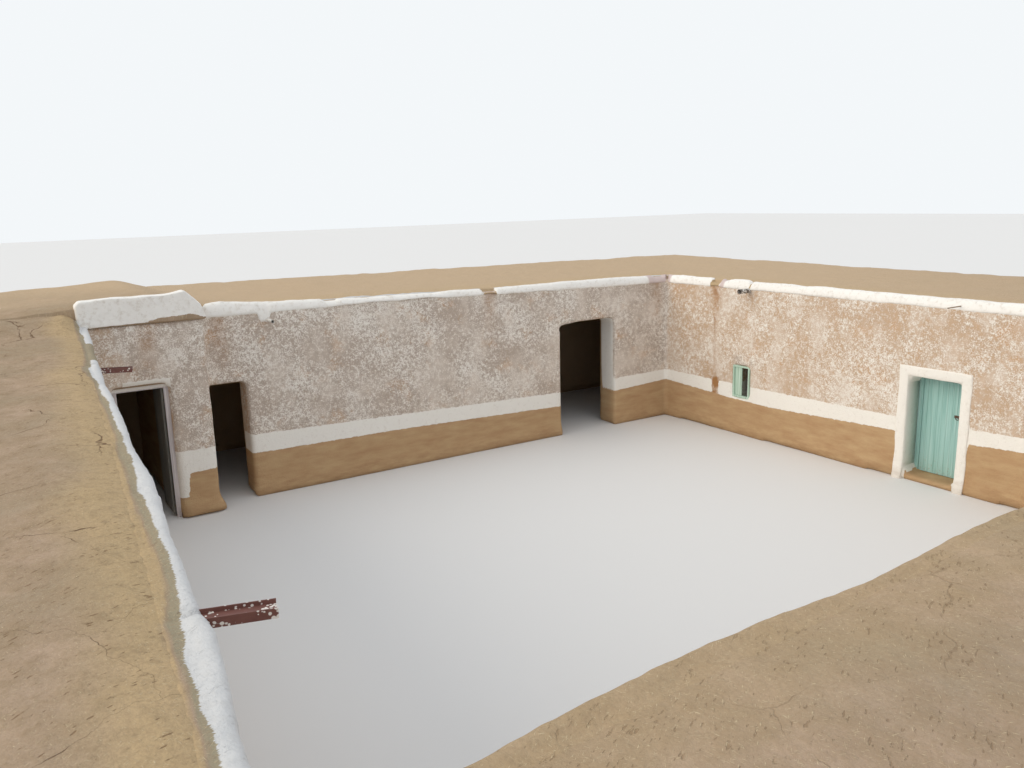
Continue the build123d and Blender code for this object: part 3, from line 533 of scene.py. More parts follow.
def wall_lime(places, z, edges, ragged):
    """How far inside the lime each point of the walls is; less than 0 is outside."""
    nearest, s, depth, in_room = places
    north, east = nearest == 0, nearest == 1
    limed = np.minimum(edges[0] - z, z - edges[1])
    worn = np.abs(s - WORN_PLACE - ragged) - WORN_HALF
    limed = np.where(east & (np.abs(s - WORN_PLACE) < WORN_REACH), np.minimum(limed, worn), limed)
    start, end, head = EAST_LIMED
    doorway = east & (s > start) & (s < end) & (z < head)
    start, end, head = EAST_STEP
    doorstep = (z < head) & (s > start) & (s < end)
    limed = np.where(doorway, np.where(doorstep, -CLEAR, CLEAR), limed)
    strip = np.minimum(STRIP_WIDTH + (z - 2.9) * STRIP_FLARE - s, z - STRIP_LOW)
    limed = np.where(in_room & (s < 0.4) & (z > 2.6), strip, limed)
    start, end = ROOM_DOORWAY
    head = np.minimum.reduce([s - (start - 0.03), end + 0.03 - s,
                              z - ROOM_HEAD_LIME[0], ROOM_HEAD_LIME[1] - z])
    limed = np.where(in_room & (z > 1.5) & (depth < 0.3), np.maximum(limed, head), limed)
    splash = np.minimum(0.09 + 0.10 * z - np.abs(s - end), 1.0 - z)
    limed = np.where(in_room & (s > end - 0.02) & (z > 0.3), np.maximum(limed, splash), limed)
    reveal = north & ~in_room & (np.abs(s - TALL_DOORWAY[1]) < 0.12) & (depth > 0.05)
    return np.where(reveal & (z < 2.5), z - REVEAL_LOW, limed)


def wall_stains(places, z, points, ragged):
    """How much brown mud has run down the walls, from 0 to 1."""
    nearest, s, depth, _ = places
    across = s - EAST_STAIN - 0.04 * waves(points, 0.4, 23)
    run = np.exp(-(across / (0.03 + 0.08 * ease(z, 2.2, 3.0))) ** 2) * ease(z, 0.8, 2.2)
    worn = 1.6 * np.exp(-((s - WORN_PLACE - ragged) / 0.13) ** 2) * (1 - ease(z, 1.05, 1.35))
    stain = np.where(nearest == 1, np.maximum(run, worn), 0.0)
    for place, width in NORTH_STAINS:
        run = np.exp(-((s - place) / width) ** 2) * ease(z, 2.0, 3.0)
        stain = np.where((nearest == 0) & (depth < 0.07), np.maximum(stain, 0.6 * run), stain)
    return stain


def wall_paint(points, places):
    """What the walls' material reads at each point."""
    nearest, s, depth, _ = places
    z = points[:, 2]
    edges = band_edges(nearest, s)
    ragged = 0.03 * waves(points, 0.15, 27, 2)
    shown = depth < WALL - 0.08
    # The cast share: the thickest whitewash, and on the north wall also painted shade in the mud.
    cast = np.where(nearest == 0, 1.0, np.where(nearest == 1, 0.3, 0.6)) * (depth < 0.07)
    window = np.exp(-((s - WINDOW_TOP[0]) / WINDOW_CAST[0]) ** 2
                    - ((z - WINDOW_TOP[1]) / WINDOW_CAST[1]) ** 2)
    cast += (nearest == 1) * (depth < 0.05) * 1.6 * window
    return {"limed": np.where(shown, wall_lime(places, z, edges, ragged), -CLEAR), "cast": cast,
            "lower": np.where(shown, edges[1] - z, CLEAR),
            "stain": wall_stains(places, z, points, ragged)}


print("stains under", len(NORTH_STAINS) + 1, "places of the roof's edge")

# %% [markdown]
# The courtyard walls are one skin, because no seam shows between the lengths of a hand-laid
# wall. A voxel remesh turns the joined solids into an even skin and softens every edge, which
# is how mud corners look. The CAD walls end at roof height, so that stretches up to the lips
# are added. Then each point moves along its normal by waves of about a metre and of a hand's
# width, and the wall's head bows with the lip over it. The base spreads, most at the pier
# between the north-west doors, and the tall doorway's head sags at its west end. In the
# doorways the waves are small, so that the doors keep their room.

# %% Courtyard walls
COURT_SKIN = 0.062
COURT_WALLS = [
    "north_wall", "north_wall_over_doorways", "east_wall", "east_wall_over_openings",
    "south_wall", "south_wall_over_doorways", "west_wall", "west_wall_over_doorways",
    "raised_room_side_walls", "raised_room_wall_over_door", "east_door_sill",
]
LIP_LEVELS = {
    "north": ((3.180, 3.030), (3.370, 3.215)), "east": ((3.030, 3.010), (3.215, 3.200)),
    "south": ((3.010, 3.060), (3.200, 3.230)), "west": ((3.060, 3.110), (3.230, 3.290)),
}
LIP_BOWS = {
    "south": ([0, 2, 4, 6, 8.6, 9.2, 10.2, 10.7, 11.2, 12.0, 12.5],
              [0, 0.02, -0.01, 0.015, 0.055, 0.037, 0.054, 0.026, -0.018, 0.01, 0.045]),
    "west": ([0.36, 0.64, 1.05, 1.46, 1.62, 2.23, 2.71, 3.37, 3.88, 4.75, 5.50, 6.51, 7.39, 9.59,
              10.7],
             [0.034, 0.033, 0.004, -0.018, 0.004, 0.007, 0.013, -0.014, -0.013, 0.03, 0.026,
              0.043, 0.07, 0.069, 0.054]),
}
SWELL, DENTS, REVEAL_SHARE = (0.014, 1.2), (0.004, 0.2), 0.15
FOOT_HEIGHT, FOOT_SPREAD, PIER_SPREAD, REVEAL_SPREAD = 0.42, 0.04, 0.11, 0.01
LINTEL_SAG = 0.035
HEAD_LOW, HEAD_OVER, HEAD_DEEP = 2.90, 0.09, 0.30
HEAD_SPANS = {side: (0.0, float(LINES[side][3])) for side in ORDER}
HEAD_SPANS["north"] = (ROOM_EAST - 0.1, float(LINES["north"][3]))
HEAD_SPANS["west"] = (0.0, 12.0)


def wall_heads():
    """The stretches of wall between the tops of the CAD walls and the lips above them."""
    heads = bmesh.new()
    for side in ORDER:
        (s0, s1), high = HEAD_SPANS[side], np.array(LIP_LEVELS[side][0]) + HEAD_OVER
        corners = [world(side, s + mitre * o, o, z)
                   for o in (0.0, HEAD_DEEP) for s, mitre, top in ((s0, -1, high[0]), (s1, 1, high[1]))
                   for z in (HEAD_LOW, top)]
        bmesh.ops.convex_hull(heads, input=[heads.verts.new(corner) for corner in corners])
    mesh = bpy.data.meshes.new("wall_heads")
    heads.to_mesh(mesh)
    heads.free()
    return mesh


def shape_walls(mesh, places):
    """Moves the points of a wall by waves, bows its head and spreads its base."""
    points, normals = points_of(mesh)
    nearest, s, depth, _ = places
    z = points[:, 2].copy()
    flat = normals * (1, 1, 0)
    reveal = (depth > 0.06) & (depth < WALL - 0.02)
    size = np.where(reveal, REVEAL_SHARE, 1.0)[:, None]
    lift = SWELL[0] * waves(points, SWELL[1], 3, 2) + DENTS[0] * waves(points, DENTS[1], 9)
    move = flat * size * lift[:, None]
    for number, side in ((2, "south"), (3, "west")):
        chosen = (nearest == number) & (depth < 0.06)
        bow = np.interp(s, *LIP_BOWS[side]) * ease(z, 1.5, 2.9)
        move[:, :2] += (chosen * bow)[:, None] * LINES[side][2]
    foot = 1 - ease(z, 0.0, FOOT_HEIGHT)
    pier = (nearest == 0) & (s > 1.05) & (s < ROOM_EAST + 0.1) & (depth < WALL)
    spread = np.where(pier, PIER_SPREAD, np.where(reveal, REVEAL_SPREAD, FOOT_SPREAD))
    move += flat * (foot * foot * spread)[:, None]
    start, end, head = TALL_DOORWAY
    dip = (nearest == 0) & (s > start - 0.6) & (s < end)
    fall = LINTEL_SAG * (1 - ease(s, start + 0.1, start + 0.62)) * ease(s, start - 0.6, start - 0.1)
    move[:, 2] -= np.where(dip, fall * np.clip(1 - np.abs(z - head) / 0.4, 0, 1), 0)
    points = points + move
    points[:, 2] = np.where(z < 0.02, 0.0, points[:, 2])
    move_points(mesh, points)


mesh = remeshed(joined_mesh(COURT_WALLS + ["doorway_lintels"], [wall_heads()]), COURT_SKIN, 1)
points, _ = points_of(mesh)
places = wall_places(points)
store(mesh, **wall_paint(points, places))
shape_walls(mesh, places)
place_piece("courtyard_walls", mesh, render_wall, "house", COURT_WALLS)

# %% [markdown]
# The roofs are packed earth mixed with chopped straw, trodden and trowelled by hand. The
# same earth forms the lips at the roof edges, so one material serves both. Its colour mixes
# noise of a metre, a hand's width and a grain of grit. The roofs and lips store where the
# earth is paler, warmer where it is new, or darker beside the lime, which is painted shade
# of the slope down to the lip.

# %% Packed earth
BROAD_PATCH, BLOTCH, PIT, GRAIN = 1.1, 0.22, 0.07, 0.02

roof_earth, tree, shader, where = start_material(
    "straw_and_earth", Roughness=0.97, IOR=1.5, Specular_IOR_Level=0.15)
broad = add(tree, "TexNoise",
            {"Vector": where, "Scale": 1 / BROAD_PATCH, "Detail": 5.0, "Roughness": 0.55})
blotch = add(tree, "TexNoise",
             {"Vector": where, "Scale": 1 / BLOTCH, "Detail": 5.0, "Roughness": 0.6})
wobble = add(tree, "TexNoise", {"Vector": where, "Scale": 1 / PIT, "Detail": 5.0, "Roughness": 0.65})
grain = add(tree, "TexNoise", {"Vector": where, "Scale": 1 / GRAIN, "Detail": 4.0, "Roughness": 0.75})
broad = add(tree, "MapRange", {"Value": broad, 1: 0.38, 2: 0.62}, interpolation_type="SMOOTHSTEP")
earth = add(tree, "MixRGB", {0: broad, 1: "#A2917A", 2: "#B29B85"})
share = add(tree, "MapRange", {"Value": blotch, 1: 0.35, 2: 0.7})
earth = add(tree, "MixRGB", {0: share, 1: earth, 2: "#9E8970"})
bleached = add(tree, "Attribute", out="Fac", attribute_name="bleached")
earth = add(tree, "MixRGB", {0: bleached, 1: earth, 2: "#C3AB8D"})
warm = add(tree, "Attribute", out="Fac", attribute_name="warm")
earth = add(tree, "MixRGB", {0: warm, 1: earth, 2: "#C2A87E"})
# Painted shade: darker earth where the stored warmth is below 0, on the slope down to the lime.
dull = add(tree, "MapRange", {"Value": warm, 1: -1.0, 2: 0.0, 3: 1.0, 4: 0.0})
earth = add(tree, "MixRGB", {0: dull, 1: earth, 2: "#9A917B"})
share = add(tree, "MapRange", {"Value": grain, 1: 0.42, 2: 0.75, 3: 0.0, 4: 0.6})
earth = add(tree, "MixRGB", {0: share, 1: earth, 2: "#9A8268"})

cracked = add(tree, "Attribute", out="Fac", attribute_name="cracked")
pits = add(tree, "MapRange", {"Value": wobble, 1: 0.50, 2: 0.66})
share = add(tree, "Math", {0: pits, 1: 0.4}, operation="MULTIPLY")
share = add(tree, "Math", {0: share, 1: cracked}, operation="MULTIPLY")
earth = add(tree, "MixRGB", {0: share, 1: earth, 2: "#8E7A5F"})
print("earth with patches of", BROAD_PATCH, "m and grain of", GRAIN, "m")

# %% [markdown]
# A straw is a noise stretched into a dash, laid in three directions. It is drawn 4 mm wide
# by 35 mm, a little thicker than real straw, so that it can still be seen. Cracks follow the
# edges of large irregular cells, bent by noise, and show only in places, as drying cracks
# do. Short dark jots are painted shadows of small clods and straws, and they dent the relief
# a little. Cracks and jots are stronger where a roof is stored as cracked, which the west one is.

# %% Straw, cracks and jots
STRAW, STRAW_TURNS = (0.004, 0.035, 0.125), (0.3, 1.2, 2.3)
JOT, JOT_TURN = (0.055, 0.016, 0.125), 0.5
CRACK_CELL, CRACK_WIDTH, CRACK_BEND, CRACK_PATCH = 0.95, 0.010, 0.3, 0.5

straw = None
for turn in STRAW_TURNS:
    lay = add(tree, "Mapping", {"Vector": where, "Rotation": (0, 0, turn), "Scale": STRAW},
              vector_type="TEXTURE")
    dash = add(tree, "TexNoise", {"Vector": lay, "Scale": 1.0, "Detail": 1.0})
    dash = add(tree, "MapRange", {"Value": dash, 1: 0.68, 2: 0.74})
    straw = dash if straw is None else add(tree, "Math", {0: straw, 1: dash}, operation="MAXIMUM")
share = add(tree, "Math", {0: straw, 1: 0.6}, operation="MULTIPLY")
earth = add(tree, "MixRGB", {0: share, 1: earth, 2: "#D8C6A2"})

bend = add(tree, "TexNoise", {"Vector": where, "Scale": 1 / CRACK_BEND, "Detail": 4.0}, out="Color")
bend = add(tree, "VectorMath", {0: bend, 1: (0.35, 0.35, 0.0)}, operation="MULTIPLY")
bend = add(tree, "VectorMath", {0: where, 1: bend})
flat = add(tree, "VectorMath", {0: bend, 1: (1.0, 1.0, 0.0)}, operation="MULTIPLY")
cells = add(tree, "TexVoronoi", {"Vector": flat, "Scale": 1 / CRACK_CELL}, out="Distance",
            feature="DISTANCE_TO_EDGE")
shown = add(tree, "TexNoise", {"Vector": where, "Scale": 1 / CRACK_PATCH, "Detail": 3.0})
width = add(tree, "MapRange",
            {"Value": shown, 1: 0.51, 2: 0.69, 3: 0.0, 4: CRACK_WIDTH / CRACK_CELL})
crack = add(tree, "Math", {0: cells, 1: width}, operation="SUBTRACT")
crack = add(tree, "MapRange", {"Value": crack, 1: -0.003, 2: 0.002, 3: 1.0, 4: 0.0})
crack = add(tree, "Math", {0: crack, 1: cracked}, operation="MULTIPLY")
share = add(tree, "Math", {0: crack, 1: 0.85}, operation="MULTIPLY")
earth = add(tree, "MixRGB", {0: share, 1: earth, 2: "#6E5640"})

# Painted shadows of small clods and straws, as short dark dashes.
jots = add(tree, "Mapping", {"Vector": where, "Rotation": (0, 0, JOT_TURN), "Scale": JOT},
           vector_type="TEXTURE")
jots = add(tree, "TexNoise", {"Vector": jots, "Scale": 1.0, "Detail": 2.0})
jots = add(tree, "Math", {0: blotch, 1: 0.35, 2: jots}, operation="MULTIPLY_ADD")
jots = add(tree, "MapRange", {"Value": jots, 1: 0.84, 2: 0.90})
share = add(tree, "MapRange", {"Value": cracked, 3: 0.2, 4: 0.75})
share = add(tree, "Math", {0: jots, 1: share}, operation="MULTIPLY")
earth = add(tree, "MixRGB", {0: share, 1: earth, 2: "#7A6045"})
print("cracks round cells of", CRACK_CELL, "m")

# %% [markdown]
# The lime on the lips was brushed over the earth, so its edge is wobbly and streaked by the
# bristles. It is dirty in the hollows and chipped. It is greyer on the upward-facing lime of
# the west lip and of the roofs, which is painted shade, and browner where it is worn.

# %% Brushed lime on earth
BRISTLES_PER_METRE, BRISTLE_TURN = (16.0, 110.0, 30.0), 0.4

limed = add(tree, "Attribute", out="Fac", attribute_name="limed")
centred = add(tree, "Math", {0: wobble, 1: 0.5}, operation="SUBTRACT")
limed = add(tree, "Math", {0: centred, 1: 0.03, 2: limed}, operation="MULTIPLY_ADD")
brush = add(tree, "Mapping",
            {"Vector": where, "Rotation": (0, 0, BRISTLE_TURN), "Scale": BRISTLES_PER_METRE})
brush = add(tree, "TexNoise", {"Vector": brush, "Scale": 1.0, "Detail": 2.0})
centred = add(tree, "Math", {0: brush, 1: 0.5}, operation="SUBTRACT")
limed = add(tree, "Math", {0: centred, 1: 0.035, 2: limed}, operation="MULTIPLY_ADD")
limed = add(tree, "MapRange", {"Value": limed, 1: -0.003, 2: 0.004}, interpolation_type="SMOOTHSTEP")

dirt = add(tree, "MapRange", {"Value": wobble, 1: 0.52, 2: 0.9})
lime = add(tree, "MixRGB", {0: dirt, 1: "#F3F0EA", 2: "#C9BEAF"})
# The first tone is painted shade on lime that faces up; the second is wear.
for name, tone in (("aged", "#C5C6C7"), ("worn", "#D0BFBA")):
    share = add(tree, "Attribute", out="Fac", attribute_name=name)
    lime = add(tree, "MixRGB", {0: share, 1: lime, 2: tone})
chips = add(tree, "MapRange", {"Value": grain, 1: 0.68, 2: 0.74})
chips = add(tree, "Math", {0: chips, 1: 0.25}, operation="MULTIPLY")
lime = add(tree, "MixRGB", {0: chips, 1: lime, 2: "#A88D6D"})
colour = add(tree, "MixRGB", {0: limed, 1: earth, 2: lime})
finish_material(tree, shader, colour, [(blotch, 0.034), (grain, 0.006), (wobble, 0.010),
                                       (crack, -0.010), (jots, -0.005), (straw, 0.0015)], 0.7)
print(roof_earth.name, "with", len(tree.nodes), "nodes")

# %% [markdown]
# The lime was brushed over the lips and a little way on to the roofs. Its edge wanders, and
# it is missing where the earth broke away, so its width is read along each side. One function
# gives the distance from its edge to both the lips and the roofs, so that the paint runs on
# where they meet.

# %% Edge of the lime
WEST_LIME = ([0, 1.6, 1.8, 2.4, 3.0, 5.5, 7.4, 8.3, 8.9, 10.2, 12],
             [0.09, 0.08, 0.05, 0.03, 0.05, 0.06, 0.10, 0.16, 0.10, 0.10, 0.14])
LIME_WIDTH = 0.155
BARE = {"north": [(7.15, 0.15)], "east": [(1.435, 0.12), (2.37, 0.02)], "west": [(9.55, 0.7)]}


def edge_lime(side, s, o, points):
    """How far inside the lime each point of a lip, or of the roof behind it, is."""
    ragged = 0.02 * plan_waves(points, 0.35, 51) + 0.008 * plan_waves(points, 0.1, 52)
    if side == "south":
        trace = plan_waves(points, 0.8, 55, 2)
        return np.minimum(0.03 + ragged - o, 0.35 * (trace - 0.62))
    limed = (np.interp(s, *WEST_LIME) if side == "west" else LIME_WIDTH) + ragged - o
    return np.minimum.reduce([limed] + [np.abs(s - place) - half for place, half in BARE[side]])


print("bare stretches:", {side: len(stretches) for side, stretches in BARE.items()})

# %% [markdown]
# The tops of the roofs fall as the CAD model's do, between four heights for each range: the
# inner edge's two ends, then the outer edge's. By the courtyard a roof dips a little. The west
# one has a hump behind its edge, channels that lead to its two spouts, and a ramp up to the
# raised room's roof. The waves of the trowel come on top.

# %% Shape of the roofs
ROOF_REACH = 3.86
ROOF_TOPS = {
    "north": (3.355, 3.200, 3.440, 3.290), "east": (3.200, 3.185, 3.290, 3.180),
    "south": (3.185, 3.215, 3.180, 3.240), "west": (3.215, 3.275, 3.240, 3.330),
}
EDGE_DIP, HUMP, CHANNEL = 0.035, 0.03, 0.025
RAMP_TOP, TUCK = 3.46, 0.08
WEST_SPOUTS, SPOUT_SKEW = (1.65, 8.60), math.tan(math.radians(7))


def bounds_of(side, o):
    """Where a range begins and ends along its side, at each depth behind its face."""
    before, after = ORDER[ORDER.index(side) - 1], ORDER[(ORDER.index(side) + 1) % 4]
    start, end = crossing(side, o, before, o), crossing(side, o, after, o)
    if side == "north":
        start = np.full(np.shape(o), ROOM_EAST - 0.1)
    if side == "west":
        end = crossing(side, o, "north", np.full(np.shape(o), 0.1 - ROOM_FORWARD))
    return start, end


def four_heights(heights, share, back):
    """A height between those of the inner edge's two ends and the outer edge's two ends."""
    inner_start, inner_end, outer_start, outer_end = heights
    inner = inner_start + (inner_end - inner_start) * share
    outer = outer_start + (outer_end - outer_start) * share
    return inner + (outer - inner) * back


def roof_height(side, s, o, ends):
    """A roof's height without its waves. Its ends are given for each depth."""
    first, last = ends
    z = four_heights(ROOF_TOPS[side], (s - first) / (last - first), o / ROOF_REACH)
    z = z - EDGE_DIP * (1 - ease(o, 0.0, 0.3))
    if side == "west":
        z = z + HUMP * np.exp(-((o - 0.5) / 0.25) ** 2) * (1 - ease(s, last - 2.5, last - 1))
        for place in WEST_SPOUTS:
            off = s - place - SPOUT_SKEW * o
            channel = np.exp(-(off / (0.035 + 0.28 * o)) ** 2)
            z = z - CHANNEL * channel * (1 - ease(o, 0.1, 0.75))
        ramp = ease(s, last - 1.15, last - 0.15)
        z = z + (RAMP_TOP - z) * ramp * ease(o, 0.0, 0.35)
    return z


def roof_lift(points):
    """The waves of a roof that was trodden and trowelled."""
    return (0.013 * plan_waves(points, 1.1, 31, 2) + 0.007 * plan_waves(points, 0.22, 33)
            + 0.0035 * plan_waves(points, 0.09, 35))


for side in ORDER:
    start, end = bounds_of(side, np.zeros(1))
    print(side, "range is", round(float(end[0] - start[0]), 2), "m long at its face")

# %% [markdown]
# Each roof is a lofted slab. Its rows lie at the same depths on every side, so neighbours
# meet along the mitres, and they lie closer by the courtyard, where the eye is nearest. The
# outer rim is rounded, and the underside is flat. Under the low lips in the south and west,
# the roof tucks in, so that only the lip's skin shows.

# %% Roof slabs
WALL_TOP, ROOM_TOP = 2.98, 3.23
RIM_DROPS = np.array([0.0, 0.07, 0.16])
NEAR_ROWS = [0.23, 0.27, 0.31, 0.35]
OUTER_ROWS = [ROOF_REACH - 0.045, ROOF_REACH - 0.025]


def roof_rows(edge, step):
    """Depths of the roof's rows: close together by the courtyard edge, then even."""
    even = np.linspace(0.39, ROOF_REACH - 0.075, round(3.4 / step))
    return np.concatenate([np.arange(edge, 0.21, 0.03), NEAR_ROWS, even, OUTER_ROWS])


def tuck(side, o):
    """How far a roof dips to run in under a low lip."""
    return TUCK * (1 - ease(o, 0.05, 0.13)) * (side in ("south", "west"))


def roof_slab(side, stations, rows, ends, height, low):
    """A roof between two ends: rows of a wavy top, a rounded outer rim and a flat underside."""
    start, end = ends
    s = start + (end - start) * np.linspace(0, 1, stations)[:, None]
    o = np.broadcast_to(rows, s.shape)
    top = world(side, s, o, height(s, o))
    top[..., 2] += roof_lift(top)
    rim = np.repeat(top[:, -1:] * (1, 1, 0), RIM_DROPS.size, axis=1)
    rim[..., 2] = np.maximum(top[:, -1:, 2] - 0.04 - RIM_DROPS, low)
    push = 0.006 + 0.007 * waves(rim, 0.3, 37) - 0.02 * (RIM_DROPS > 0.1)
    rim[..., :2] += push[..., None] * LINES[side][2]
    under = [world(side, s[:, -1], o[:, -1] - 0.03, low), world(side, s[:, 0], o[:, 0], low)]
    return np.concatenate([top, rim, np.stack(under, axis=1)], axis=1), s, o


print(roof_rows(0.05, 0.04).size, "rows from front to back of the west roof")

# %% [markdown]
# What the earth's material reads is worked out from places, so that it runs on across the
# mitres: the west roof has a yellow strip of newer earth along its edge, with a darker one
# between it and the lime that is painted shade of the slope down to the lip, and the roofs are
# paler towards the north and east.

# %% Four roofs
# Painted shade: how far the lime on the roofs and on the west lip, which faces up, is greyed.
AGED = 0.75
CRACKED = {"north": 0.0, "east": 0.0, "south": 0.3, "west": 1.0}
ROOF_EDGE = {"north": 0.11, "east": 0.11, "south": 0.05, "west": 0.05}
ROOF_STEP = {"north": 0.065, "east": 0.065, "south": 0.042, "west": 0.04}


def west_warmth(s, o, points):
    """The west roof's yellow strip, and below 0 a darker strip by the lime that is painted shade."""
    yellow = np.interp(s, *WEST_LIME) + 0.065 + 0.02 * plan_waves(points, 0.5, 57)
    far = 0.40 + 0.10 * plan_waves(points, 0.9, 59)
    warm = 0.75 * (1 - ease(o, far - 0.15, far + 0.25))
    return warm - 1.75 * (1 - ease(o, yellow - 0.03, yellow))


def bleaching(points):
    """How much paler the roofs are, from none in the south-west to most in the north."""
    x, y = points[..., 0], points[..., 1]
    return ease(x + y, 0.0, 4.5) * (1 - 0.25 * ease(x - y, 4.0, 10.0))


for side, step in ROOF_STEP.items():
    rows = roof_rows(ROOF_EDGE[side], step)
    ends = bounds_of(side, rows)
    stations = round(float((ends[1] - ends[0]).max()) / step)
    rings, s, o = roof_slab(side, stations, rows, ends,
                            lambda s, o: roof_height(side, s, o, ends) - tuck(side, o),
                            WALL_TOP - 0.012)
    added = ((0, 0), (0, rings.shape[1] - rows.size))
    along = np.pad(s, added, mode="edge")
    deep = np.pad(o, added, constant_values=ROOF_REACH)
    warm = west_warmth(along, deep, rings) if side == "west" else 0.25 * (1 - ease(deep, 0.3, 0.8))
    mesh = lofted(side + "_roof_earth", rings, warm=warm, bleached=bleaching(rings),
                  limed=edge_lime(side, along, deep, rings), aged=np.full(deep.shape, AGED),
                  cracked=np.full(deep.shape, CRACKED[side]))
    place_piece(side + "_roof_earth", mesh, roof_earth, "house", [side + "_roof"])

# %% [markdown]
# The raised room's roof is a slab of the same kind. It is higher towards the east, and then
# falls away to the north range beside it. Its front edge dips behind the lip.

# %% Raised room's roof
ROOM_ROOF_TOPS = (3.450, 3.665, 3.440, 3.640)
ROOM_WEST, ROOM_STATIONS = -2.5, 105
SIDE_FALL = 0.24


def room_roof_height(s, o):
    """The raised room's roof, which falls away towards the north range beside it."""
    share = np.clip((s - ROOM_WEST) / (ROOM_EAST - ROOM_WEST), 0, 1)
    z = four_heights(ROOM_ROOF_TOPS, share, (o + ROOM_FORWARD) / (ROOF_REACH + ROOM_FORWARD))
    z = z - SIDE_FALL * ease(s, ROOM_EAST - 0.75, ROOM_EAST + 0.12)
    edge = 1 - ease(o, -ROOM_FORWARD, -ROOM_FORWARD + 0.25)
    return z - (0.05 + 0.07 * ease(s, -0.25, 0.0)) * edge


rows = np.concatenate([np.linspace(-ROOM_FORWARD + 0.005, 0.0, 7),
                       np.linspace(0.06, ROOF_REACH - 0.075, 62), OUTER_ROWS])
start = crossing("north", rows, "west", np.full(rows.shape, ROOF_REACH - 0.03))
ends = start, np.full(rows.shape, ROOM_EAST + 0.02)
rings, _, _ = roof_slab("north", ROOM_STATIONS, rows, ends, room_roof_height, ROOM_TOP - 0.012)
deep = local("north", rings)[1]
mesh = lofted("raised_roof_earth", rings, warm=np.full(deep.shape, 0.1),
              limed=np.full(deep.shape, -0.3),
              bleached=np.maximum(bleaching(rings), 0.5 * ease(deep, -0.2, 1.0)))
place_piece("raised_roof_earth", mesh, roof_earth, "house", ["raised_room_roof"])

# %% [markdown]
# The lips at the roof edges are long rolls of earth, pressed on by hand and limewashed, so
# their top and bottom edges wander. A worn or broken stretch is a place where the roll is
# thinner. Each such dent is given as its depth, its middle, half its length, and the length
# over which it fades.

# %% Dents in the lips
TOP_DENTS = {
    "north": [(0.10, 7.15, 0.12, 0.06), (0.03, 3.90, 0.10, 0.06), (0.03, 11.55, 0.12, 0.06),
              (0.05, 1.72, 0.01, 0.04)],
    "east": [(0.08, 1.45, 0.10, 0.06), (0.05, 2.36, 0.01, 0.04), (-0.02, 2.06, 0.16, 0.12),
             (0.03, 1.69, 0.03, 0.06)],
    "west": [(0.045, place, 0.02, 0.035) for place in WEST_SPOUTS],
}
LOW_DENTS = {
    "north": [(0.05, 7.15, 0.10, 0.06), (0.02, 5.60, 0.20, 0.30), (-0.15, 2.70, 0.06, 0.07)],
    "east": [(0.03, 1.45, 0.10, 0.06)],
}
WORN_LIME = {"north": [(11.22, 12.5)], "east": [(-1, 0.10), (1.57, 1.68)]}


def dents(rows, s):
    """How deep the dents are at each place along a side, in metres."""
    return sum((depth * (1 - ease(np.abs(s - middle), half, half + fade))
                for depth, middle, half, fade in rows), start=0 * s)


print("deepest dent in the north lip:", dents(TOP_DENTS["north"], np.arange(0, 12, 0.05)).max())

# %% [markdown]
# A lip's cross-section is a circle pushed out towards a rounded square, so few points give a
# full roll with soft edges. Some points are added where its top and bottom are nearly level.
# In the north and east it stands up and leans back over the roof.
# In the south and west it is low: its back blends into the roof's own height, then dips under.
# The lime mask is a distance again, from each point to the edge of the paint.

# %% Lips
LIP_NEAR, LIP_FAR = -0.04, {"north": 0.20, "east": 0.20, "south": 0.24, "west": 0.24}
LIP_STEP, LIP_AROUND, LIP_SQUARE = 0.025, 20, 0.6
LIP_OVER = np.array([-0.60, -0.45, -0.30, -0.15, 0.15, 0.30, 0.45])
LIP_LEAN, LIP_BACK_FALL, LOW_LIP_SINK = 0.07, 0.03, 0.02
LIP_WARMTH = {"north": 0.6, "east": 0.6, "south": 0.35}
NORTH_TOP = ([1.6, 1.8, 2.0, 2.56, 4.8, 8.9, 11.6], [0.0, 0.03, 0.055, 0.012, -0.045, -0.01, 0.0])
NORTH_LOW = ([1.6, 2.2, 4.8, 8.9, 11.6], [-0.01, 0.0, 0.05, 0.015, 0.0])


def squared(value, power):
    """Pushes the outline of a circle out towards a rounded square."""
    return np.sign(value) * np.abs(value) ** power


def lip_levels(side, s, flat):
    """A lip's lowest and highest level at each place, with its dents and waves."""
    first, last = bounds_of(side, np.zeros(1))
    share = (s - first) / (last - first)
    low, high = [a + (b - a) * share for a, b in LIP_LEVELS[side]]
    if side == "north":
        high, low = high + np.interp(s, *NORTH_TOP), low + np.interp(s, *NORTH_LOW)
    sink = dents(TOP_DENTS.get(side, ()), s) + LOW_LIP_SINK * (side in ("south", "west"))
    low = low + dents(LOW_DENTS.get(side, ()), s) + 0.013 * waves(flat, 0.55, 41, 2)
    return low, high - sink + 0.011 * waves(flat, 0.45, 43, 2)


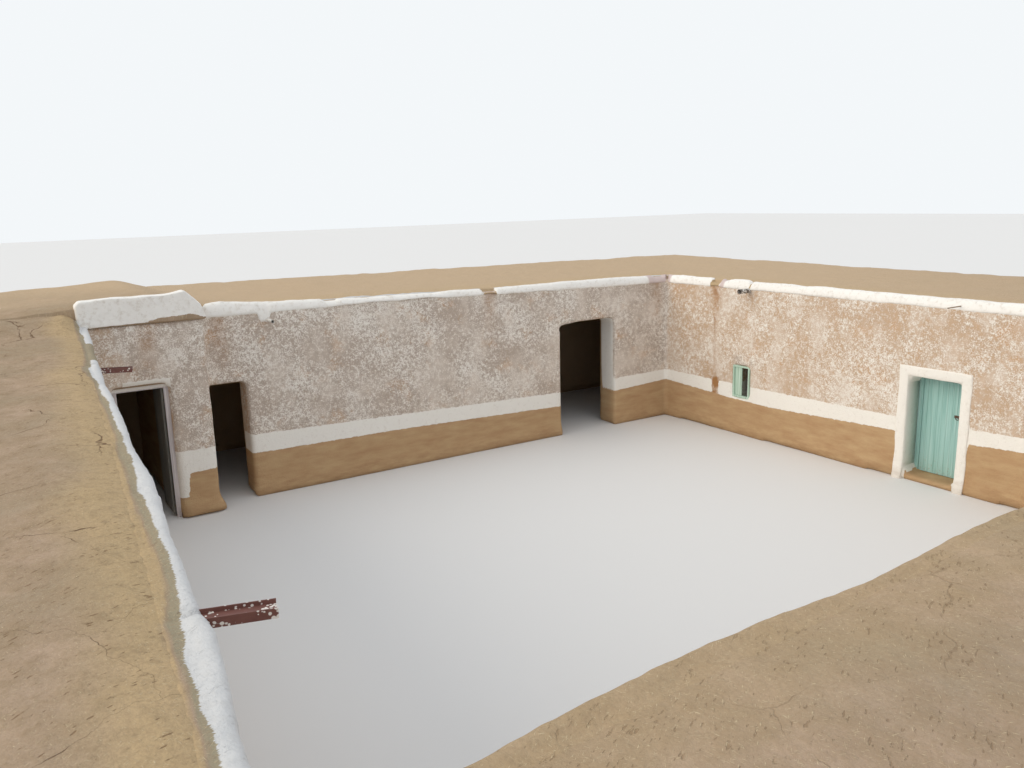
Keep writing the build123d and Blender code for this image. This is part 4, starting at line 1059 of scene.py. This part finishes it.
def lip(side):
    """The lofted lip of a range."""
    upright, far = side in ("north", "east"), LIP_FAR[side]
    turn = np.linspace(0, 2 * np.pi, LIP_AROUND, endpoint=False)
    turn = np.sort(np.concatenate([turn, np.arccos(squared(LIP_OVER, 1 / LIP_SQUARE))]))
    across = (LIP_NEAR + far) / 2 - (far - LIP_NEAR) / 2 * squared(np.cos(turn), LIP_SQUARE)
    start, end = bounds_of(side, across)
    stations = round(float((end - start).max()) / LIP_STEP)
    s = start + (end - start) * np.linspace(0, 1, stations)[:, None]
    o = np.broadcast_to(across, s.shape)
    flat = world(side, s, o, 0.0)
    low, high = lip_levels(side, s, flat)
    if not upright:
        roof = roof_height(side, s, o, (start, end)) + roof_lift(flat) + 0.002
        high = high + (roof - high) * ease(o, -0.02, 0.12) - 0.05 * ease(o, 0.145, 0.22)
    z = (low + high) / 2 + (high - low) / 2 * squared(np.sin(turn), LIP_SQUARE)
    if upright:
        z = z - LIP_BACK_FALL * ease(o, 0.06, far) * (np.sin(turn) > 0)
        o = o + LIP_LEAN * np.clip((z - low) / (high - low), 0, 1) * (1 - ease(o, 0.0, far))
    else:
        o = o + np.interp(s, *LIP_BOWS[side]) * (1 - ease(o, 0.0, 0.18))
    points = world(side, s, o, z)
    coarse = 0.010 if upright else 0.004
    push = coarse * waves(points, 0.35, 45, 2) + 0.004 * waves(points, 0.08, 47)
    points[..., :2] -= push[..., None] * LINES[side][2]
    points[..., 2] += 0.004 * waves(points, 0.07, 49)
    warm = west_warmth(s, o, points) if side == "west" else np.full(s.shape, LIP_WARMTH[side])
    worn = 0 * s
    for start, end in WORN_LIME.get(side, ()):
        stretch = ease(s, start - 0.02, start + 0.02) * (1 - ease(s, end - 0.02, end + 0.02))
        worn = np.maximum(worn, stretch)
    return lofted(side + "_lip", points, limed=edge_lime(side, s, o, points), warm=warm, worn=worn,
                  aged=np.full(s.shape, AGED * (side == "west")))


for side in ORDER:
    place_piece(side + "_lip", lip(side), roof_earth, "house", [side + "_coping"])

# %% [markdown]
# The raised room's lip is a tall block of limed earth, so it is remeshed from its CAD solid
# and pushed about. Its top sinks and rises a little, and its lime ends at the bottom in an
# uneven line, which is read along the block.

# %% Raised room's lip
ROOM_LIP_SKIN = 0.020
LIME_FOOT = ([0.7, 0.84, 0.99, 1.23, 1.47, 1.62, 1.78], [3.22, 3.27, 3.30, 3.31, 3.32, 3.26, 3.235])

mesh = remeshed(joined_mesh(["raised_room_coping"]), ROOM_LIP_SKIN, 3)
points, normals = points_of(mesh)
s, o = local("north", points)
push = 0.012 * waves(points, 0.4, 61, 2) + 0.004 * waves(points, 0.07, 63)
points = points + normals * push[:, None]
share = ease(points[:, 2], ROOM_TOP, ROOM_TOP + 0.35)
points[:, 2] += share * (0.02 * plan_waves(points, 0.4, 65) - 0.022)
move_points(mesh, points)
lower_edge = points[:, 2] - np.interp(s, *LIME_FOOT)
store(mesh, limed=np.minimum(0.19 - (o + ROOM_FORWARD), lower_edge))
place_piece("raised_room_lip", mesh, roof_earth, "house", ["raised_room_coping"])

# %% [markdown]
# The walls that face outwards get a plain render of mud and chopped straw, with no lime. Rain
# has washed it in blotches of about a metre, the foot is darker, and short pale bits of chaff
# catch the eye. They are drawn 4 mm wide, coarser than real chaff, so that they show.

# %% Plain mud render
WASHED, LUMP = (0.9, 0.9, 0.7), 0.05
CHAFF_PER_METRE, CHAFF_TURN = (250.0, 30.0, 250.0), (0.5, 0.4, 0.7)

plain_mud, tree, shader, where = start_material(
    "plain_mud_render", Roughness=0.96, IOR=1.5, Specular_IOR_Level=0.15)
washed = add(tree, "Mapping", {"Vector": where, "Scale": WASHED})
washed = add(tree, "TexNoise", {"Vector": washed, "Scale": 1.0, "Detail": 7.0, "Roughness": 0.6})
washed = add(tree, "MapRange", {"Value": washed, 1: 0.35, 2: 0.65})
coarse = add(tree, "TexNoise", {"Vector": where, "Scale": 1 / LUMP, "Detail": 5.0, "Roughness": 0.7})
mud = add(tree, "MixRGB", {0: washed, 1: "#A0866A", 2: "#B39C7F"})
mud = add(tree, "MixRGB", {0: coarse, 1: mud, 2: "#AC9377"})
height = add(tree, "SeparateXYZ", {0: where}, out="Z")
foot = add(tree, "Math", {0: washed, 1: 0.35, 2: height}, operation="MULTIPLY_ADD")
foot = add(tree, "MapRange", {"Value": foot, 1: 0.15, 2: 0.75, 3: 0.5, 4: 0.0})
mud = add(tree, "MixRGB", {0: foot, 1: mud, 2: "#8F7458"})
chaff = add(tree, "Mapping",
            {"Vector": where, "Rotation": CHAFF_TURN, "Scale": CHAFF_PER_METRE})
chaff = add(tree, "TexNoise", {"Vector": chaff, "Scale": 1.0, "Detail": 1.0})
chaff = add(tree, "MapRange", {"Value": chaff, 1: 0.66, 2: 0.74, 3: 0.0, 4: 0.5})
mud = add(tree, "MixRGB", {0: chaff, 1: mud, 2: "#D3BE97"})
finish_material(tree, shader, mud, [(coarse, 0.02), (chaff, 0.002)], 0.7)
print(plain_mud.name, "with", len(tree.nodes), "nodes")

# %% [markdown]
# The outer walls swell and lean a little, as rammed earth does. They are remeshed coarsely,
# because nothing on them is small. They stay inside the edge of the roof, which oversails
# them, and their softened foot is set flat again.

# %% Outer walls
OUTER_SKIN, FOOT = 0.105, 0.08
OUTER_WALLS = [
    "outer_north_wall", "outer_east_wall", "outer_south_wall", "outer_south_wall_over_door",
    "outer_west_wall", "raised_room_west_wall", "raised_room_north_wall",
]
mesh = remeshed(joined_mesh(OUTER_WALLS), OUTER_SKIN, 1)
points, normals = points_of(mesh)
swell = 0.018 * waves(points, 1.8, 71, 2) + 0.005 * waves(points, 0.4, 73) - 0.008
points = points + normals * (1, 1, 0) * swell[:, None]
points[:, 2] = np.where(points[:, 2] < FOOT, 0.0, points[:, 2])
move_points(mesh, points)
place_piece("outer_walls", mesh, plain_mud, "house", OUTER_WALLS)

# %% [markdown]
# The east door has a band of limewash round it, laid on thick with a trowel. It is lofted as
# a flat roll that goes up one side, over the top and down the other. Its cross-section is a
# row of points, each at a share of the way out from the doorway, and at a depth behind the
# wall's face. Its outer edge wanders by a finger's width, its face is lumpy, its foot spreads
# with the wall's, and its inner edge turns into the doorway.

# %% East door's lime band
SURROUND = 0.175
LEG_STEPS = (70, 36, 70)
BAND_SHARES = np.array([1.0, 1.0, 0.96, 0.8, 0.55, 0.3, 0.06, 0.0, -0.03, -0.03])
BAND_DEPTHS = np.array([0.012, -0.006, -0.013, -0.017, -0.018, -0.017, -0.013, -0.004, 0.05, 0.350])


def doorway_path(more):
    """Even steps up, over and down a doorway that is larger all round by some metres."""
    start, end, head = EAST_DOORWAY
    corners = [(start - more, 0.0), (start - more, head + more), (end + more, head + more),
               (end + more, 0.0)]
    legs = [np.linspace(a, b, n, endpoint=False) for a, b, n in zip(corners, corners[1:], LEG_STEPS)]
    return np.concatenate(legs + [[corners[-1]]])


inner, outer = doorway_path(0), doorway_path(SURROUND)
place = inner[:, None] + (outer - inner)[:, None] * BAND_SHARES[:, None]
flat = np.concatenate([place, np.zeros(place.shape[:2] + (1,))], axis=-1)
outward = (outer - inner) / np.linalg.norm(outer - inner, axis=1)[:, None]
wander = 0.008 * waves(flat, 0.25, 81, 2) * (BAND_SHARES > 0.5)
wander += 0.003 * waves(flat, 0.12, 83) * (np.abs(BAND_SHARES - 0.1) < 0.15)
place = place + outward[:, None] * (wander - 0.008 * (BAND_SHARES > 0.9))[..., None]
place[..., 1] = np.maximum(place[..., 1], 0.0)
lump = 0.003 * waves(flat, 0.15, 85, 2) * (np.abs(BAND_SHARES - 0.5) < 0.48)
foot = 0.045 * (1 - ease(place[..., 1], 0, 0.42)) ** 2 * (BAND_DEPTHS < 0.04)
points = world("east", place[..., 0], BAND_DEPTHS + lump - foot, place[..., 1])
none = np.zeros(points.shape[:2])
mesh = lofted("east_door_lime", points, limed=none + 0.3, cast=none, lower=none - 0.3, stain=none)
place_piece("east_door_lime", mesh, render_wall, "house", ["east_door_surround"])

# %% [markdown]
# The doors are plank leaves with oil paint, which has chalked in the sun. The boards run
# upright, so the paint's streaks do too: each is about 25 mm wide and a metre long. Worn spots
# of bare wood are a few centimetres wide, and thickest near the sill. Old oil paint is still
# a little glossy, at a roughness near 0.55. One function makes all the paints, because only
# their colours differ. The head of the room door's frame was limed with the wall.

# %% Paint on boards
STREAKS_PER_METRE, WORN_PER_METRE = (40.0, 40.0, 1.1), 30.0


def board_paint(name, main, dark, pale, limed_above=None):
    """Chalked oil paint on upright boards, in three tones, with lime above a height if given."""
    material, tree, shader, where = start_material(name, Roughness=0.55, IOR=1.5)
    streaks = add(tree, "Mapping", {"Vector": where, "Scale": STREAKS_PER_METRE})
    streaks = add(tree, "TexNoise", {"Vector": streaks, "Scale": 1.0, "Detail": 3.0})
    tone = add(tree, "MapRange", {"Value": streaks, 1: 0.36, 2: 0.5})
    colour = add(tree, "MixRGB", {0: tone, 1: dark, 2: main})
    tone = add(tree, "MapRange", {"Value": streaks, 1: 0.54, 2: 0.68})
    colour = add(tree, "MixRGB", {0: tone, 1: colour, 2: pale})
    worn = add(tree, "TexNoise",
               {"Vector": where, "Scale": WORN_PER_METRE, "Detail": 6.0, "Roughness": 0.7})
    height = add(tree, "SeparateXYZ", {0: where}, out="Z")
    splash = add(tree, "MapRange", {"Value": height, 1: 0.05, 2: 0.5, 3: 0.12, 4: 0.0})
    worn = add(tree, "Math", {0: worn, 1: splash})
    worn = add(tree, "MapRange", {"Value": worn, 1: 0.66, 2: 0.72, 3: 0.0, 4: 0.7})
    colour = add(tree, "MixRGB", {0: worn, 1: colour, 2: "#9C8A70"})
    if limed_above:
        head = add(tree, "MapRange", {"Value": height, 1: limed_above - 0.01, 2: limed_above + 0.01})
        colour = add(tree, "MixRGB", {0: head, 1: colour, 2: "#EDEAE4"})
    finish_material(tree, shader, colour, [(streaks, 0.003), (worn, -0.0006)], 0.6)
    return material


turquoise_paint = board_paint("turquoise_paint", "#9DC5BF", "#8CB7B0", "#AFD0CB")
mint_paint = board_paint("mint_paint", "#B9D2C0", "#A2BEAA", "#CBDFD1")
grey_paint = board_paint("grey_paint", "#76756F", "#64625C", "#8B8983")
frame_paint = board_paint("faded_frame_paint", "#C9C1C1", "#B8B0AF", "#D8D2D1",
                          limed_above=ROOM_HEAD_LIME[0])
print("paints:", turquoise_paint.name, mint_paint.name, grey_paint.name, frame_paint.name)

# %% [markdown]
# A plank leaf is a row of boards nailed to ledges, so each board is its own box. They differ
# in width by a few millimetres and stand a little in or out of line, by the seeded random
# numbers. A small bevel catches the light along their edges. A leaf is laid out from its
# hinge pin: how far out from it, how far across, and how high.

# %% Plank leaves
BOARD_BEVEL, BOARD_GAP, BOARD_PLAY, BOARD_PROUD = 0.003, 0.002, 0.004, 0.0022
LEAF_DEPTH, LEDGE_DEPTH, LEDGE_IN, LEDGE_HEIGHT = (-0.051, -0.016), (-0.016, 0.004), 0.06, 0.09
EAST_PIN, ROOM_PIN = (5.957, 0.431), (0.953, -0.164)


def box_row(name, origin, run, across, boxes):
    """Bevelled boxes in a frame of a run, a direction across it, and up."""
    turn = Matrix((Vector((*run, 0)), Vector((*across, 0)), Vector((0, 0, 1)))).transposed()
    row = bmesh.new()
    for spans in boxes:
        middle = Vector([sum(span) / 2 for span in spans])
        size = [span[1] - span[0] for span in spans]
        place = Matrix.Translation(Vector((*origin, 0)) + turn @ middle) @ turn.to_4x4()
        bmesh.ops.create_cube(row, size=1, matrix=place @ Matrix.Diagonal((*size, 1)))
    bmesh.ops.bevel(row, geom=row.edges[:], offset=BOARD_BEVEL, segments=2, affect="EDGES",
                    profile=0.6)
    bmesh.ops.recalc_face_normals(row, faces=row.faces)
    mesh = bpy.data.meshes.new(name)
    row.to_mesh(mesh)
    row.free()
    return mesh


def leaf_boxes(x_span, y_span, z_span, count, ledge_tops=()):
    """The boards of a leaf, side by side, and the ledges behind them."""
    cuts = np.linspace(*x_span, count + 1)
    cuts[1:-1] += rng.uniform(-BOARD_PLAY, BOARD_PLAY, count - 1)
    boxes = []
    for left, right in zip(cuts, cuts[1:]):
        back = rng.uniform(0.0, BOARD_PROUD)
        boxes.append(((left + BOARD_GAP / 2, right - BOARD_GAP / 2), (y_span[0] + back, y_span[1]),
                      z_span))
    for top in ledge_tops:
        boxes.append(((LEDGE_IN, x_span[1] - LEDGE_IN), LEDGE_DEPTH, (top - LEDGE_HEIGHT, top)))
    return boxes


_, along, outwards, _ = LINES["east"]
boxes = leaf_boxes((0.006, 0.810), LEAF_DEPTH, (0.10, 1.782), 9, (0.33, 1.492))
mesh = box_row("east_door_boards", world("east", *EAST_PIN, 0)[:2], along, outwards, boxes)
place_piece("east_door_boards", mesh, turquoise_paint, "east_door",
            ["east_door_leaf"], smooth=False)

_, along, outwards, _ = LINES["north"]
boxes = leaf_boxes((0.006, 0.720), LEAF_DEPTH, (0.04, 2.187), 7, (0.27, 1.897))
mesh = box_row("room_door_boards", world("north", *ROOM_PIN, 0)[:2], outwards, along, boxes)
place_piece("room_door_boards", mesh, grey_paint, "room_door", ["room_door_leaf"],
            smooth=False)

first, along, outwards, _ = LINES["south"]
mesh = box_row("street_door_boards", first, along, outwards,
               leaf_boxes((5.95, 7.05), (3.635, 3.68), (0.0, 2.10), 7))
place_piece("street_door_boards", mesh, grey_paint, "house", ["street_door"],
            smooth=False)

# %% [markdown]
# The remaining parts keep their CAD shapes, and get the finish of the real thing. Logs and
# lintels are unplaned poplar or willow, grey-brown and dry. One noise gives both the patches of
# 5 cm and, in its eight octaves, the fine grain inside them.

# %% Bare timber
GRAIN_PER_METRE = 18.0

bare_timber, tree, shader, where = start_material("bare_timber", Roughness=0.8, IOR=1.5)
grain = add(tree, "TexNoise",
            {"Vector": where, "Scale": GRAIN_PER_METRE, "Detail": 8.0, "Roughness": 0.7})
wood = add(tree, "MixRGB", {0: grain, 1: "#6F5A45", 2: "#A38A6C"})
finish_material(tree, shader, wood, [(grain, 0.02)])
print(bare_timber.name, "with", len(tree.nodes), "nodes")

# %% [markdown]
# The steel spouts are painted with red oxide, and splashed by the limewasher: drops about 2 cm
# wide, in patches of 11 cm. The pipe spouts are grey plastic, splashed too, and the one in the
# east is darker. One function makes both, because a paint and a plastic differ here only in
# colour, in how rough they are, and in how much lime hit them.

# %% Splashed steel and plastic
SPLASH = 0.022
TONES_PER_METRE, WET_PER_METRE = 25.0, 9.0
EAST_SIDE = (1.0, 2.0)


def splashed(name, dark, pale, amount, roughness, dark_east=None):
    """A painted or plastic surface with splashes of limewash, and a darker tone in the east."""
    material, tree, shader, where = start_material(name, Roughness=roughness, IOR=1.5)
    tone = add(tree, "TexNoise",
               {"Vector": where, "Scale": TONES_PER_METRE, "Detail": 6.0, "Roughness": 0.7})
    base = add(tree, "MixRGB", {0: tone, 1: dark, 2: pale})
    if dark_east:
        east = add(tree, "SeparateXYZ", {0: where}, out="X")
        east = add(tree, "MapRange", {"Value": east, 1: EAST_SIDE[0], 2: EAST_SIDE[1]})
        base = add(tree, "MixRGB", {0: east, 1: base, 2: dark_east})
    drops = add(tree, "TexVoronoi", {"Vector": where, "Scale": 1 / SPLASH}, out="Distance")
    wet = add(tree, "TexNoise", {"Vector": where, "Scale": WET_PER_METRE, "Detail": 3.0})
    wet = add(tree, "MapRange", {"Value": wet, 1: 0.62 - amount, 2: 0.78 - amount, 3: 0.0, 4: 0.5})
    drops = add(tree, "Math", {0: drops, 1: wet}, operation="SUBTRACT")
    drops = add(tree, "MapRange", {"Value": drops, 1: -0.04, 2: 0.04, 3: 0.9, 4: 0.0})
    colour = add(tree, "MixRGB", {0: drops, 1: base, 2: "#E9E4DC"})
    finish_material(tree, shader, colour, [(tone, 0.002)])
    return material


rusty_steel = splashed("red_oxide_steel", "#5A3630", "#7E5248", 0.21, 0.6)
pipe_plastic = splashed("pipe_plastic", "#A9A9A4", "#C4C3BD", 0.28, 0.5, dark_east="#655B52")
print("splashed:", rusty_steel.name, pipe_plastic.name)

# %% [markdown]
# Pins, straps and latch are forged iron. It is bare metal, with the default IOR, where it is
# rubbed, and rough brown rust in spots of 2 to 3 cm elsewhere, which is hardly metallic.

# %% Door iron
RUST_PER_METRE = 40.0

door_iron, tree, shader, where = start_material("door_iron", Metallic=1.0, Roughness=0.5)
rust = add(tree, "TexNoise",
           {"Vector": where, "Scale": RUST_PER_METRE, "Detail": 8.0, "Roughness": 0.75})
rust = add(tree, "MapRange", {"Value": rust, 1: 0.46, 2: 0.56})
iron = add(tree, "MixRGB", {0: rust, 1: "#6B6763", 2: "#6A4A35"})
tree.links.new(iron, shader.inputs["Base Color"])
for socket, rubbed, rusted in (("Metallic", 1.0, 0.1), ("Roughness", 0.4, 0.85)):
    share = add(tree, "MapRange", {"Value": rust, 3: rubbed, 4: rusted})
    tree.links.new(share, shader.inputs[socket])
print(door_iron.name, "with", len(tree.nodes), "nodes")

# %% [markdown]
# Each kept part takes its material in every slot, and a bevel rounds its edges, by a
# centimetre on logs and by about a millimetre on iron and steel.

# %% Parts that keep their shape
KEPT = {
    "roof_logs": (bare_timber, 0.010), "corner_girders": (bare_timber, 0.012),
    "doorway_lintels": (bare_timber, 0.008), "roof_stick": (bare_timber, 0.004),
    "steel_spouts": (rusty_steel, 0.0015), "pipe_spouts": (pipe_plastic, 0.0012),
    "east_door_frame": (turquoise_paint, 0.003), "room_door_frame": (frame_paint, 0.003),
    "window_frame": (mint_paint, 0.003), "window_shutters": (mint_paint, 0.002),
    "east_door_straps": (door_iron, 0.001), "room_door_straps": (door_iron, 0.001),
    "door_hinge_pins": (door_iron, 0.001), "east_door_latch": (door_iron, 0.001),
}
for name, (material, bevel) in KEPT.items():
    node = frame["nodes"][name]
    for slot in node.material_slots:
        slot.material = material
    rounding = node.modifiers.new("rounding", "BEVEL")
    rounding.width, rounding.segments, rounding.limit_method = bevel, 2, "ANGLE"
print(len(KEPT), "CAD parts kept and finished")
